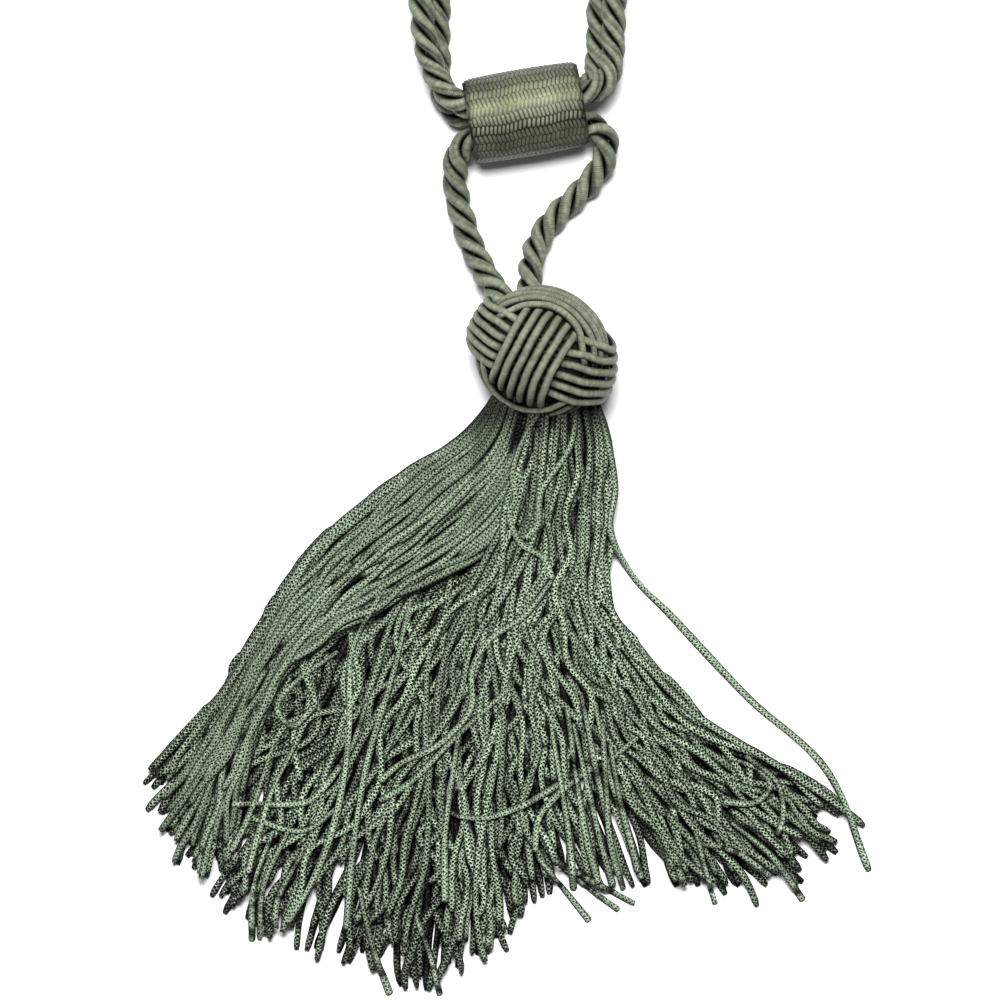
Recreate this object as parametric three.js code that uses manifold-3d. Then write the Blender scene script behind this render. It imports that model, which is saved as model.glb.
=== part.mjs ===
// Curtain tieback tassel, lying on a table: a fringe skirt under a woven-cord knot, hung on a short
// loop of rope that runs back through a covered slider, and a doubled embrace rope through the same
// slider. Millimetres, +Z up from the table, +Y from the hem of the skirt towards the embrace rope.
import * as THREE from "three";
import { mergeVertices } from "three/addons/utils/BufferGeometryUtils.js";
import Module from "manifold-3d";

// ---------- driving dimensions ----------

const WELD = 0.01; // edges shorter than this are closed up where pieces fuse
const FIT_GAP = 0.3; // clear space between two pieces that rest on each other

const ROPE_DIAMETER = 7.5;
const ROPE_LAY = 21; // length of one full turn of a strand round the rope
const ROPE_STRANDS = 3;
const ROPE_VALLEY_RADIUS = 2.9; // from the rope's centre to the groove between two strands
const LOOP_STEP_DEGREES = 40; // turn of the rope's section from one step to the next
const EMBRACE_STEP_DEGREES = 48;

const KNOT_CENTRE = new THREE.Vector3(9.1, 49.6, 18.5);
const KNOT_RADIUS = 19; // to the top of the band that lies outermost
const KNOT_STRETCH = new THREE.Vector3(1.19, 0.96, 1); // across, along and through the ball
const KNOT_FRONT = new THREE.Vector3(-0.26, -0.21, 0.94); // where the first band crosses on top
const KNOT_ROLL = -27; // degrees that the first band leans from the +Y axis
const BAND_CORDS = 5;
const BAND_CORD_WIDTH = 2.85;
const BAND_GROOVE = 0.8; // depth of the groove between two cords of a band
const BAND_THICKNESS = 2.8; // a band rises and dips by this much from crossing to crossing
const BAND_SPREAD = 0.16; // share that a band widens by between two crossings
const BAND_STEPS = 20;
const BAND_FOOT_RADIUS = 13.5; // the bands' inner edge, buried in the core
const CORE_RADIUS = 15.4;

const SLIDER_CENTRE = new THREE.Vector3(4.5, 116.5, 12.1);
const SLIDER_TILT = 9.6; // degrees that its axis leans from +X
const SLIDER_LENGTH = 32.5;
const SLIDER_RADIUS = 12.3; // at the middle of the barrel
const SLIDER_END_RADIUS = 11.8;
const SLIDER_BORE = 10.5; // radius
const SLIDER_LIP = 0.9; // rounding of the end rims
const SLIDER_SIDES = 24;

const NECK_CENTRE = new THREE.Vector3(9.4, 36.6, 15);
const NECK_STRAIGHT = 8.4; // half the straight part of the neck's stadium outline
const NECK_ROUND = 8.6; // radius of its round ends, where the strands root
const NECK_COVER = 1; // thickness of fused roots outside the root line
const NECK_HALF_HEIGHT = 13.6;
const NECK_HALF_WIDTH = 20.5; // of the ellipse that gives the neck its height
const NECK_LEFT_DEGREES = 80; // the outermost strands root this far round the neck's ends
const NECK_RIGHT_DEGREES = 50;

const STRAND_WIDTH = 2.2;
const STRAND_GAP = 0.4; // clear space beside a strand
const STRAND_HEADROOM = 0.55; // clear space over it
const STRAND_LEAST_WIDTH = 0.4;
const PILE_LAYERS = 8; // layers that the neck's height is shared between
const PILE_STEP = 1.35; // height of one layer where the skirt lies flat

// The pile of strands settles away from the neck: share of the neck's height that a layer keeps,
// and share of the neck's lift off the table that is left, by distance from the root line.
const SETTLING = [
  { away: 0, height: 1, lift: 1 },
  { away: 12, height: 0.8, lift: 0.4 },
  { away: 28, height: 0.35, lift: 0 },
  { away: 50, height: 0, lift: 0 },
];

// Strands of a layer fan out between guides, from the left edge of the skirt to the right one.
// Each row gives one guide's way from its shoulder to its tip.
const FAN = [
  { shoulder: [-29.3, 17.1], middle: [-56.7, -5.9], low: [-75.5, -36.4], tip: [-101.6, -70.4] },
  { shoulder: [-17.5, 11.2], middle: [-44.1, -19.6], low: [-61.5, -57.4], tip: [-83.5, -106] },
  { shoulder: [-8.3, 2.8], middle: [-29.3, -30.8], low: [-40.5, -72.8], tip: [-48.5, -126.5] },
  { shoulder: [1.5, 0], middle: [-13.3, -35], low: [-13.9, -78.4], tip: [-12.5, -131.5] },
  { shoulder: [10.8, 1.4], middle: [2.9, -33.6], low: [11.3, -70], tip: [23.5, -112.5] },
  { shoulder: [19.2, 3.4], middle: [16.9, -26.6], low: [36.5, -65.8], tip: [64.5, -105] },
  { shoulder: [26.7, 4.2], middle: [28.7, -19.6], low: [50.5, -49], tip: [97.5, -79.8] },
];
const SHEAF = [
  { shoulder: [-29.3, 17.5], middle: [-55.9, -5.4], low: [-74.6, -35.6], tip: [-97.9, -65.8] },
  { shoulder: [-17, 10], middle: [-42, -14], low: [-66, -41], tip: [-90, -86] },
  { shoulder: [-4, 2], middle: [-26, -19], low: [-57.3, -46], tip: [-78, -90] },
];
const FLANK = [
  { shoulder: [8, 7], middle: [6, -33], low: [24, -66], tip: [44, -101] },
  { shoulder: [25.7, 4.6], middle: [27.7, -19.8], low: [49, -50], tip: [92, -79] },
];

// Every layer, from the table up: its guides, the share of the neck that it roots in, how many
// strands it has, how far they wave from side to side, and how ragged their tips are.
const LAYERS = [
  { level: 0, guides: FAN, from: 0, to: 0.96, strands: 37, wave: 0.8, ragged: 0.12 },
  { level: 1, guides: FAN, from: 0.01, to: 0.99, strands: 37, wave: 1.4, ragged: 0.16 },
  { level: 2, guides: FAN, from: 0, to: 0.98, strands: 37, wave: 1.2, ragged: 0.14 },
  { level: 3, guides: FAN, from: 0.02, to: 1, strands: 37, wave: 1.6, ragged: 0.2 },
  { level: 4, guides: SHEAF, from: 0, to: 0.42, strands: 13, wave: 0.6, ragged: 0.16 },
  { level: 4, guides: FLANK, from: 0.62, to: 1, strands: 13, wave: 0.5, ragged: 0.2 },
  { level: 5, guides: SHEAF, from: 0.01, to: 0.4, strands: 12, wave: 0.8, ragged: 0.2 },
];

// Single strands: the long one that lies clear of the skirt on the table, and those that wander
// over the top of the pile. Each row: its layer, where it roots, and its way to its tip.
const LOOSE = [
  {
    level: 0,
    root: 1,
    way: [[29.6, 12], [28, 0.4], [34.4, -12.6], [45.8, -24.5], [67, -47], [88.9, -67.2], [101, -95.7]],
  },
  { level: 6, root: 0.4, way: [[0.8, 15], [1.5, 5], [10, -12], [12, -35], [2, -66], [-18, -84]] },
  { level: 7, root: 0.66, way: [[9, 10.4], [7, 0], [-5.5, -31], [-11, -50], [-30, -67], [-52, -76]] },
  { level: 6, root: 0.3, way: [[-12, 4], [-30, -26], [-44, -60], [-60, -88]] },
  { level: 6, root: 0.85, way: [[22, 4], [24, -22], [42, -52], [66, -72], [76, -94]] },
];

// The tassel cord's centre line: out of the knot, up through the slider and back to the knot.
const TASSEL_CORD_ROUTE = [
  [0.2, 58.5, 17.5], [-2.7, 65.2, 14.5], [-6.6, 71.4, 9], [-10.5, 79.5, 5], [-13, 86.8, 4.1],
  [-14.6, 93.2, 4.6], [-15.2, 99.1, 6.6], [-14.6, 105, 9.6], [-11.2, 108.6, 12], [-4.9, 109.6, 12.3],
  [5.6, 110.5, 12.2], [15.2, 112.2, 12.2], [21.4, 113.2, 12], [24.4, 112.4, 11.2],
  [26.5, 110.3, 10.2], [27.2, 107.4, 9], [26.8, 104.2, 7.8], [25.1, 100.8, 6.6], [21.4, 96.2, 5],
  [16.7, 91.6, 4.3], [11.7, 86.6, 4.1], [8.1, 81, 5.6], [6.2, 75, 9.8], [5.6, 69, 14.6], [7, 61.5, 17.5],
];

// The embrace rope's centre line: one long loop that starts and ends in the slider and makes an arm
// of two runs on each side, with a bight at its end.
const EMBRACE_ROUTE = [
  [4.2, 120, 17.6], [12, 120.4, 17.8], [19.7, 121.2, 17.8], [24, 122.8, 17], [27.2, 126, 15],
  [28.6, 132, 12.4], [28.9, 140, 11], [29.5, 150, 10.4], [31.4, 159, 9], [33.8, 169, 6],
  [36.6, 190, 4], [39.5, 215, 4], [42.6, 240, 4], [45.5, 262, 4], [43.5, 284, 4],
  [30, 297, 4], [15.8, 288, 4], [13, 268, 4], [21, 250, 4], [29.4, 230, 4],
  [30.6, 210, 4], [28, 190, 4], [25.8, 169, 4], [25.2, 150, 4], [24.9, 139, 4],
  [24.5, 131, 4.8], [23.6, 126.5, 6.4], [21.6, 124, 7.5], [17, 122.8, 8], [4.2, 119.9, 7.2],
  [-11.9, 115.9, 6.7], [-16.6, 118, 5.8], [-19.2, 124.5, 4.6], [-20, 132.4, 4], [-20, 150, 4],
  [-21.4, 169, 4], [-24, 190, 4], [-26.4, 210, 4], [-25.4, 230, 4], [-17.4, 250, 4],
  [-10, 268, 4], [-13, 288, 4], [-27, 297, 4], [-40.6, 284, 4], [-42, 262, 4],
  [-38, 240, 4], [-34.8, 215, 4], [-32.2, 190, 4], [-29.4, 169, 6], [-26.8, 159, 9],
  [-24.8, 150, 10.4], [-24, 140, 11], [-22.8, 133, 12.2], [-20.4, 126.6, 13.8],
  [-17.4, 121.6, 15.4], [-15, 119.4, 16.2], [-12.1, 118.2, 16.6], [-4, 118.4, 17.2],
  [3.9, 119.9, 17.6],
];

const ROPE_FINISH = { color: 0x7c8068, roughness: 0.62, metalness: 0 };
const YARN_FINISH = { color: 0x66725f, roughness: 0.7, metalness: 0 };
const SLIDER_FINISH = { color: 0x848a6c, roughness: 0.55, metalness: 0 };

// ---------- helpers ----------

const wasm = await Module();
wasm.setup();
const { degToRad, lerp, clamp } = THREE.MathUtils;

// A repeatable number from 0 to 1 for a strand, so that the skirt is uneven in the same way each time.
const chance = (a, b) => {
  const s = Math.sin(a * 127.1 + b * 311.7) * 43758.5453;
  return s - Math.floor(s);
};

// A closed body through rings of the same number of points, which close into a loop or end in flat
// caps. Its faces may all point inwards; solidOf turns them round.
function loft(rings, closed) {
  const count = rings[0].length;
  const points = rings.flat();
  const index = [];
  const spans = closed ? rings.length : rings.length - 1;
  for (let i = 0; i < spans; i++) {
    const here = i * count;
    const there = ((i + 1) % rings.length) * count;
    for (let j = 0; j < count; j++) {
      const k = (j + 1) % count;
      index.push(here + j, here + k, there + k, here + j, there + k, there + j);
    }
  }
  if (!closed) {
    const last = (rings.length - 1) * count;
    for (let j = 1; j < count - 1; j++) {
      index.push(0, j + 1, j);
      index.push(last, last + j, last + j + 1);
    }
  }
  const geometry = new THREE.BufferGeometry().setFromPoints(points);
  geometry.setIndex(index);
  return geometry;
}

function solidOf(geometry) {
  const bare = geometry.clone();
  bare.deleteAttribute("normal");
  bare.deleteAttribute("uv");
  const merged = mergeVertices(bare, 1e-4);
  const build = (triVerts) =>
    new wasm.Manifold(
      new wasm.Mesh({
        numProp: 3,
        vertProperties: new Float32Array(merged.attributes.position.array),
        triVerts: new Uint32Array(triVerts),
      }),
    );
  const made = build(merged.index.array);
  return made.volume() > 0 ? made : build(merged.index.array.toReversed());
}

function meshOf(name, solid, finish) {
  const { vertProperties, triVerts } = solid.getMesh();
  const geometry = new THREE.BufferGeometry();
  geometry.setAttribute("position", new THREE.BufferAttribute(vertProperties, 3));
  geometry.setIndex(new THREE.BufferAttribute(triVerts, 1));
  const flat = geometry.toNonIndexed();
  flat.computeVertexNormals();
  const mesh = new THREE.Mesh(flat, new THREE.MeshStandardMaterial(finish));
  mesh.name = name;
  return mesh;
}

// ---------- knot: three interlaced bands of cords round a core ----------

// The ball's own frame: band one crosses on top at +Z and runs along Y, band two along X, and band
// three round the rim. A band lies high where it crosses over and low a quarter turn further on.
const BALL_BANDS = [
  { across: [1, 0, 0], high: [0, 0, 1], low: [0, 1, 0] },
  { across: [0, 1, 0], high: [1, 0, 0], low: [0, 0, 1] },
  { across: [0, 0, 1], high: [0, 1, 0], low: [1, 0, 0] },
];

function ballMatrix(grow) {
  const front = KNOT_FRONT.clone().normalize();
  const lean = new THREE.Quaternion().setFromUnitVectors(new THREE.Vector3(0, 0, 1), front);
  const roll = new THREE.Quaternion().setFromAxisAngle(new THREE.Vector3(0, 0, 1), degToRad(KNOT_ROLL));
  const stretch = KNOT_STRETCH.clone().multiplyScalar(grow);
  return new THREE.Matrix4().compose(KNOT_CENTRE, lean.multiply(roll), stretch);
}

function knotBand({ across, high, low }) {
  const [side, up, along] = [across, high, low].map((v) => new THREE.Vector3(...v));
  const turns = new THREE.Vector3().crossVectors(side, up).dot(along) > 0 ? 1 : -1;
  const rings = [];
  for (let i = 0; i < BAND_STEPS; i++) {
    const angle = (i / BAND_STEPS) * 2 * Math.PI * turns;
    const out = up.clone().multiplyScalar(Math.cos(angle)).addScaledVector(along, Math.sin(angle));
    const crest = KNOT_RADIUS - (BAND_THICKNESS / 2) * (1 - Math.cos(2 * angle));
    const width = BAND_CORDS * BAND_CORD_WIDTH * (1 + BAND_SPREAD * Math.sin(2 * angle) ** 2);
    const ring = [];
    for (let j = 0; j <= 2 * BAND_CORDS; j++) {
      const offset = (j / (2 * BAND_CORDS) - 0.5) * width;
      const radius = j % 2 ? crest : crest - BAND_GROOVE;
      const reach = Math.sqrt(radius ** 2 - offset ** 2);
      ring.push(side.clone().multiplyScalar(offset).addScaledVector(out, reach));
    }
    for (const end of [0.5, -0.5])
      ring.push(side.clone().multiplyScalar(end * width).addScaledVector(out, BAND_FOOT_RADIUS));
    rings.push(ring);
  }
  return rings;
}

function makeKnot() {
  const core = solidOf(new THREE.IcosahedronGeometry(CORE_RADIUS, 2));
  const bands = BALL_BANDS.map((band) => solidOf(loft(knotBand(band), true)));
  const ball = wasm.Manifold.union([core, ...bands]).transform(ballMatrix(1).elements);
  return ball.trimByPlane([0, 0, 1], 0).simplify(WELD); // a small flat spot to lie on
}

// The smooth ball that just holds the knot, a little larger: what rests on the knot is cut to it.
function knotEnvelope() {
  const ball = new THREE.SphereGeometry(KNOT_RADIUS + FIT_GAP, 32, 20);
  return solidOf(ball).transform(ballMatrix(1).elements);
}

// ---------- slider: a covered tube with rounded rims ----------

function makeSlider() {
  const half = SLIDER_LENGTH / 2;
  const rim = SLIDER_END_RADIUS - SLIDER_LIP;
  const profile = [
    [SLIDER_BORE, -half + SLIDER_LIP],
    [(SLIDER_BORE + rim) / 2, -half],
    [SLIDER_END_RADIUS, -half + SLIDER_LIP],
    [SLIDER_RADIUS - 0.1, -half / 2],
    [SLIDER_RADIUS, 0],
    [SLIDER_RADIUS - 0.1, half / 2],
    [SLIDER_END_RADIUS, half - SLIDER_LIP],
    [(SLIDER_BORE + rim) / 2, half],
    [SLIDER_BORE, half - SLIDER_LIP],
    [SLIDER_BORE, -half + SLIDER_LIP],
  ].map(([radius, along]) => new THREE.Vector2(radius, along));
  const turned = new THREE.LatheGeometry(profile, SLIDER_SIDES);
  turned.rotateZ(degToRad(SLIDER_TILT - 90));
  turned.translate(...SLIDER_CENTRE.toArray());
  return solidOf(turned).trimByPlane([0, 0, 1], 0); // it lies on the facet underneath
}

// ---------- ropes: three strands twisted together, as a lobed section that turns ----------

function twistedRope(route, stepDegrees) {
  const curve = new THREE.CatmullRomCurve3(route.map((p) => new THREE.Vector3(...p)), false, "centripetal");
  curve.arcLengthDivisions = 2000;
  const length = curve.getLength();
  const steps = Math.round(length / ((ROPE_LAY * stepDegrees) / 360));
  const up = new THREE.Vector3(0, 0, 1);
  const rings = [];
  for (let i = 0; i <= steps; i++) {
    const centre = curve.getPointAt(i / steps);
    const along = curve.getTangentAt(i / steps);
    const side = new THREE.Vector3().crossVectors(along, up).normalize();
    const above = new THREE.Vector3().crossVectors(side, along);
    const twist = ((i / steps) * length * 2 * Math.PI) / ROPE_LAY;
    const ring = [];
    for (let j = 0; j < 2 * ROPE_STRANDS; j++) {
      // the points run against the twist, so that the faces fold along the strands
      const angle = twist - (j * Math.PI) / ROPE_STRANDS;
      const radius = j % 2 ? ROPE_VALLEY_RADIUS : ROPE_DIAMETER / 2;
      ring.push(
        centre
          .clone()
          .addScaledVector(side, Math.cos(angle) * radius)
          .addScaledVector(above, Math.sin(angle) * radius),
      );
    }
    rings.push(ring);
  }
  return { solid: solidOf(loft(rings, false)), length };
}

// ---------- skirt: layers of strands that root in one neck ----------

// The root line runs round the near side of a stadium, from its left end (share 0) to its right.
function rootPoint(share) {
  const left = -NECK_STRAIGHT - degToRad(NECK_LEFT_DEGREES) * NECK_ROUND;
  const right = NECK_STRAIGHT + degToRad(NECK_RIGHT_DEGREES) * NECK_ROUND;
  const along = lerp(left, right, share);
  const bend = Math.sign(along) * Math.max(Math.abs(along) - NECK_STRAIGHT, 0);
  const angle = bend / NECK_ROUND;
  const flat = along - bend;
  return new THREE.Vector2(
    NECK_CENTRE.x + flat + NECK_ROUND * Math.sin(angle),
    NECK_CENTRE.y - NECK_ROUND * Math.cos(angle),
  );
}

function distanceFromRoots(x, y) {
  const beside = Math.max(Math.abs(x - NECK_CENTRE.x) - NECK_STRAIGHT, 0);
  return Math.hypot(beside, y - NECK_CENTRE.y) - NECK_ROUND;
}

// Floor and height of one layer at a place: the neck's round section near the roots, settling to an
// even pile on the table.
function pileAt(x, y) {
  const away = distanceFromRoots(x, y);
  let row = SETTLING.findIndex((r) => r.away > away);
  row = row < 0 ? SETTLING.length - 1 : Math.max(row, 1);
  const [near, far] = [SETTLING[row - 1], SETTLING[row]];
  const t = clamp((away - near.away) / (far.away - near.away), 0, 1);
  const across = clamp((x - NECK_CENTRE.x) / NECK_HALF_WIDTH, -0.9, 0.9);
  const round = Math.sqrt(1 - across ** 2);
  const neckStep = (2 * NECK_HALF_HEIGHT * round) / PILE_LAYERS;
  const neckFloor = NECK_CENTRE.z - NECK_HALF_HEIGHT * round;
  return {
    step: lerp(PILE_STEP, neckStep, lerp(near.height, far.height, t)),
    floor: neckFloor * lerp(near.lift, far.lift, t),
  };
}

// Points where a way crosses each distance of the settling table, then two more before its tip, so
// that strands of different layers rise and fall together.
function stationsOn(curve) {
  const fine = curve.getPoints(240);
  const away = fine.map((p) => distanceFromRoots(p.x, p.y));
  const found = [0];
  for (const { away: wanted } of SETTLING.slice(1)) {
    const at = away.findIndex((d) => d >= wanted);
    if (at > 0) found.push((at - (away[at] - wanted) / (away[at] - away[at - 1])) / 240);
  }
  const last = found[found.length - 1];
  for (const share of [0.34, 0.68, 1]) found.push(lerp(last, 1, share));
  return found.map((t) => curve.getPoint(t));
}

function wayOf(layer, share) {
  const across = (share - layer.from) / (layer.to - layer.from);
  const place = (station) =>
    new THREE.SplineCurve(layer.guides.map((g) => new THREE.Vector2(...g[station]))).getPoint(
      layer.guides === FAN ? share : across,
    );
  const stations = ["shoulder", "middle", "low", "tip"].map(place);
  return [rootPoint(share), ...stations];
}

function strandsOf(layer, number) {
  const ways = [];
  for (let i = 0; i < layer.strands; i++) {
    const share = lerp(layer.from, layer.to, i / (layer.strands - 1));
    const way = wayOf(layer, share);
    const [low, tip] = way.slice(-2);
    tip.lerpVectors(low, tip, 1 - layer.ragged * chance(number, i));
    const curve = new THREE.SplineCurve(way);
    const points = stationsOn(curve);
    const swing = points.map((_, k) => layer.wave * Math.sin(share * 21 + k * 1.7 + number * 2.3));
    points.forEach((p, k) => {
      if (k < 2) return;
      const back = points[Math.max(k - 1, 0)];
      const aim = new THREE.Vector2().subVectors(p, back).normalize();
      p.x -= aim.y * swing[k];
      p.y += aim.x * swing[k];
    });
    ways.push({ level: layer.level, points });
  }
  return ways;
}

function looseStrand({ level, root, way }) {
  const curve = new THREE.SplineCurve([rootPoint(root), ...way.map((p) => new THREE.Vector2(...p))]);
  return { level, points: stationsOn(curve) };
}

// Space that a strand has to each side: half the way across to its neighbours, at every station.
function roomBeside(strand, others) {
  return strand.points.map((p, k) => {
    const before = strand.points[Math.max(k - 1, 0)];
    const after = strand.points[Math.min(k + 1, strand.points.length - 1)];
    const aim = new THREE.Vector2().subVectors(after, before).normalize();
    const gaps = others.map((other) => {
      const q = other.points[Math.min(k, other.points.length - 1)];
      return Math.abs((q.x - p.x) * aim.y - (q.y - p.y) * aim.x);
    });
    return Math.min(STRAND_WIDTH + STRAND_GAP, ...gaps);
  });
}

function strandSolid({ level, points }, room) {
  const rings = points.map((p, k) => {
    const before = points[Math.max(k - 1, 0)];
    const after = points[Math.min(k + 1, points.length - 1)];
    const aim = new THREE.Vector2().subVectors(after, before).normalize();
    const half = Math.max(room[k] - STRAND_GAP, STRAND_LEAST_WIDTH) / 2;
    const { step, floor } = pileAt(p.x, p.y);
    const bottom = floor + level * step;
    return [
      new THREE.Vector3(p.x + aim.y * half, p.y - aim.x * half, bottom),
      new THREE.Vector3(p.x, p.y, bottom + step - STRAND_HEADROOM),
      new THREE.Vector3(p.x - aim.y * half, p.y + aim.x * half, bottom),
    ];
  });
  return solidOf(loft(rings, false));
}

// The fused roots: a stadium that fills the neck, cut to the ball that it hangs from.
function makeNeck() {
  const radius = NECK_ROUND + NECK_COVER;
  const outline = new THREE.Shape();
  outline.absarc(NECK_STRAIGHT, 0, radius, -Math.PI / 2, Math.PI / 2, false);
  outline.absarc(-NECK_STRAIGHT, 0, radius, Math.PI / 2, (3 * Math.PI) / 2, false);
  const upright = new THREE.ExtrudeGeometry(outline, {
    depth: 4 * NECK_HALF_HEIGHT,
    bevelEnabled: false,
    curveSegments: 10,
  });
  upright.translate(NECK_CENTRE.x, NECK_CENTRE.y, NECK_CENTRE.z - 2 * NECK_HALF_HEIGHT);
  const lying = new THREE.CylinderGeometry(1, 1, 4 * radius, 24);
  lying.scale(NECK_HALF_WIDTH, 1, NECK_HALF_HEIGHT);
  lying.translate(...NECK_CENTRE.toArray());
  return solidOf(upright).intersect(solidOf(lying)).subtract(knotEnvelope());
}

function skirtStrands() {
  const layered = LAYERS.map((layer, number) => strandsOf(layer, number));
  const loose = LOOSE.map(looseStrand);
  const solids = [];
  layered.forEach((strands) => {
    strands.forEach((strand, i) => {
      const beside = [strands[i - 1], strands[i + 1]].filter(Boolean);
      solids.push(strandSolid(strand, roomBeside(strand, beside)));
    });
  });
  loose.forEach((strand) => solids.push(strandSolid(strand, roomBeside(strand, []))));
  return solids;
}

function makeSkirt() {
  return wasm.Manifold.union([makeNeck(), ...skirtStrands()]).simplify(WELD);
}

// ---------- assembly ----------

const tieback = new THREE.Group();
tieback.add(meshOf("knot", makeKnot(), ROPE_FINISH));
tieback.add(meshOf("skirt", makeSkirt(), YARN_FINISH));
tieback.add(meshOf("slider", makeSlider(), SLIDER_FINISH));
const tasselCord = twistedRope(TASSEL_CORD_ROUTE, LOOP_STEP_DEGREES);
tieback.add(meshOf("tassel_cord", tasselCord.solid.subtract(knotEnvelope()), ROPE_FINISH));
const embraceCord = twistedRope(EMBRACE_ROUTE, EMBRACE_STEP_DEGREES);
tieback.add(meshOf("embrace_cord", embraceCord.solid, ROPE_FINISH));

export default tieback;
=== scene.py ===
"""Curtain tieback tassel: the finished surfaces of its ropes, knot, slider and yarn skirt.

Lengths are in metres. Tables are written in millimetres and multiplied by MM. +Z is up from the
table, and +Y runs from the hem of the skirt towards the embrace rope.
"""

import bpy
import numpy as np
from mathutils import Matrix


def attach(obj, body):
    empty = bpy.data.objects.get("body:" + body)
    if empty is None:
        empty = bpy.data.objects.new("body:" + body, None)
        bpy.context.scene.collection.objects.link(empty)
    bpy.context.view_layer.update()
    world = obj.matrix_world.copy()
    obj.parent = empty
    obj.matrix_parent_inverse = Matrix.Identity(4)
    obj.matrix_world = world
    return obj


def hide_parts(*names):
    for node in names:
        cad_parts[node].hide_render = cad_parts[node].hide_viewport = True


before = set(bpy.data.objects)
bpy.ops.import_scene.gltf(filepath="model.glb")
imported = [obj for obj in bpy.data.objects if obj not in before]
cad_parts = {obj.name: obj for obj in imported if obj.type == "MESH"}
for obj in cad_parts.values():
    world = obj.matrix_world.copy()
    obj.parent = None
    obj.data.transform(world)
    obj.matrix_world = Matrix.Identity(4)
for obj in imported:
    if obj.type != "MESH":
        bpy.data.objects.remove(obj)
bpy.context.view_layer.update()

bl_info = {
    "name": "Curtain tieback tassel",
    "version": (1, 0, 0),
    "blender": (4, 5, 0),
    "location": "3D View > Sidebar > Tieback",
    "description": "Ropes, knot, slider and yarn skirt of a corded curtain tieback",
    "category": "Add Mesh",
}

MM = 0.001
TURN = 2 * np.pi
UP = np.array([0, 0, 1.0])
BODY = "root"

# ---------- places ----------

VIEW_CENTRE = MM * np.array([-2.66, 8.4])
VIEW_WIDTH = 280 * MM
VIEW_LEVEL = 6 * MM  # height at which the view is exactly VIEW_WIDTH wide
CAMERA_HEIGHT = 1.6
SENSOR_WIDTH = 36

KNOT_CENTRE = MM * np.array([9.1, 49.6, 18.5])
KNOT_STRETCH = np.array([1.19, 0.96, 1.0])  # across, along and through the ball
KNOT_FRONT = np.array([-0.26, -0.21, 0.94])  # where the first band crosses on top
KNOT_ROLL = np.radians(-27)
SLIDER_CENTRE = MM * np.array([4.5, 116.5, 12.1])
SLIDER_TILT = np.radians(9.6)

# The tassel cord's centre line: out of the knot, up through the slider and back to the knot.
TASSEL_CORD_ROUTE = MM * np.array([
    (0.2, 58.5, 17.5), (-2.7, 65.2, 14.5), (-6.6, 71.4, 9), (-10.5, 79.5, 5), (-13, 86.8, 4.1),
    (-14.6, 93.2, 4.6), (-15.2, 99.1, 6.6), (-14.6, 105, 9.6), (-11.2, 108.6, 12), (-4.9, 109.6, 12.3),
    (5.6, 110.5, 12.2), (15.2, 112.2, 12.2), (21.4, 113.2, 12), (24.4, 112.4, 11.2),
    (26.5, 110.3, 10.2), (27.2, 107.4, 9), (26.8, 104.2, 7.8), (25.1, 100.8, 6.6), (21.4, 96.2, 5),
    (16.7, 91.6, 4.3), (11.7, 86.6, 4.1), (8.1, 81, 5.6), (6.2, 75, 9.8), (5.6, 69, 14.6), (7, 61.5, 17.5),
])

# The embrace rope's centre line: one loop that starts and ends in the slider, with an arm of two
# runs on each side and a bight at the arm's end.
EMBRACE_ROUTE = MM * np.array([
    (4.2, 120, 17.6), (12, 120.4, 17.8), (19.7, 121.2, 17.8), (24, 122.8, 17), (27.2, 126, 15),
    (28.6, 132, 12.4), (28.9, 140, 11), (29.5, 150, 10.4), (31.4, 159, 9), (33.8, 169, 6),
    (36.6, 190, 4), (39.5, 215, 4), (42.6, 240, 4), (45.5, 262, 4), (43.5, 284, 4),
    (30, 297, 4), (15.8, 288, 4), (13, 268, 4), (21, 250, 4), (29.4, 230, 4),
    (30.6, 210, 4), (28, 190, 4), (25.8, 169, 4), (25.2, 150, 4), (24.9, 139, 4),
    (24.5, 131, 4.8), (23.6, 126.5, 6.4), (21.6, 124, 7.5), (17, 122.8, 8), (4.2, 119.9, 7.2),
    (-11.9, 115.9, 6.7), (-16.6, 118, 5.8), (-19.2, 124.5, 4.6), (-20, 132.4, 4), (-20, 150, 4),
    (-21.4, 169, 4), (-24, 190, 4), (-26.4, 210, 4), (-25.4, 230, 4), (-17.4, 250, 4),
    (-10, 268, 4), (-13, 288, 4), (-27, 297, 4), (-40.6, 284, 4), (-42, 262, 4),
    (-38, 240, 4), (-34.8, 215, 4), (-32.2, 190, 4), (-29.4, 169, 6), (-26.8, 159, 9),
    (-24.8, 150, 10.4), (-24, 140, 11), (-22.8, 133, 12.2), (-20.4, 126.6, 13.8),
    (-17.4, 121.6, 15.4), (-15, 119.4, 16.2), (-12.1, 118.2, 16.6), (-4, 118.4, 17.2),
    (3.9, 119.9, 17.6),
])

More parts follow.
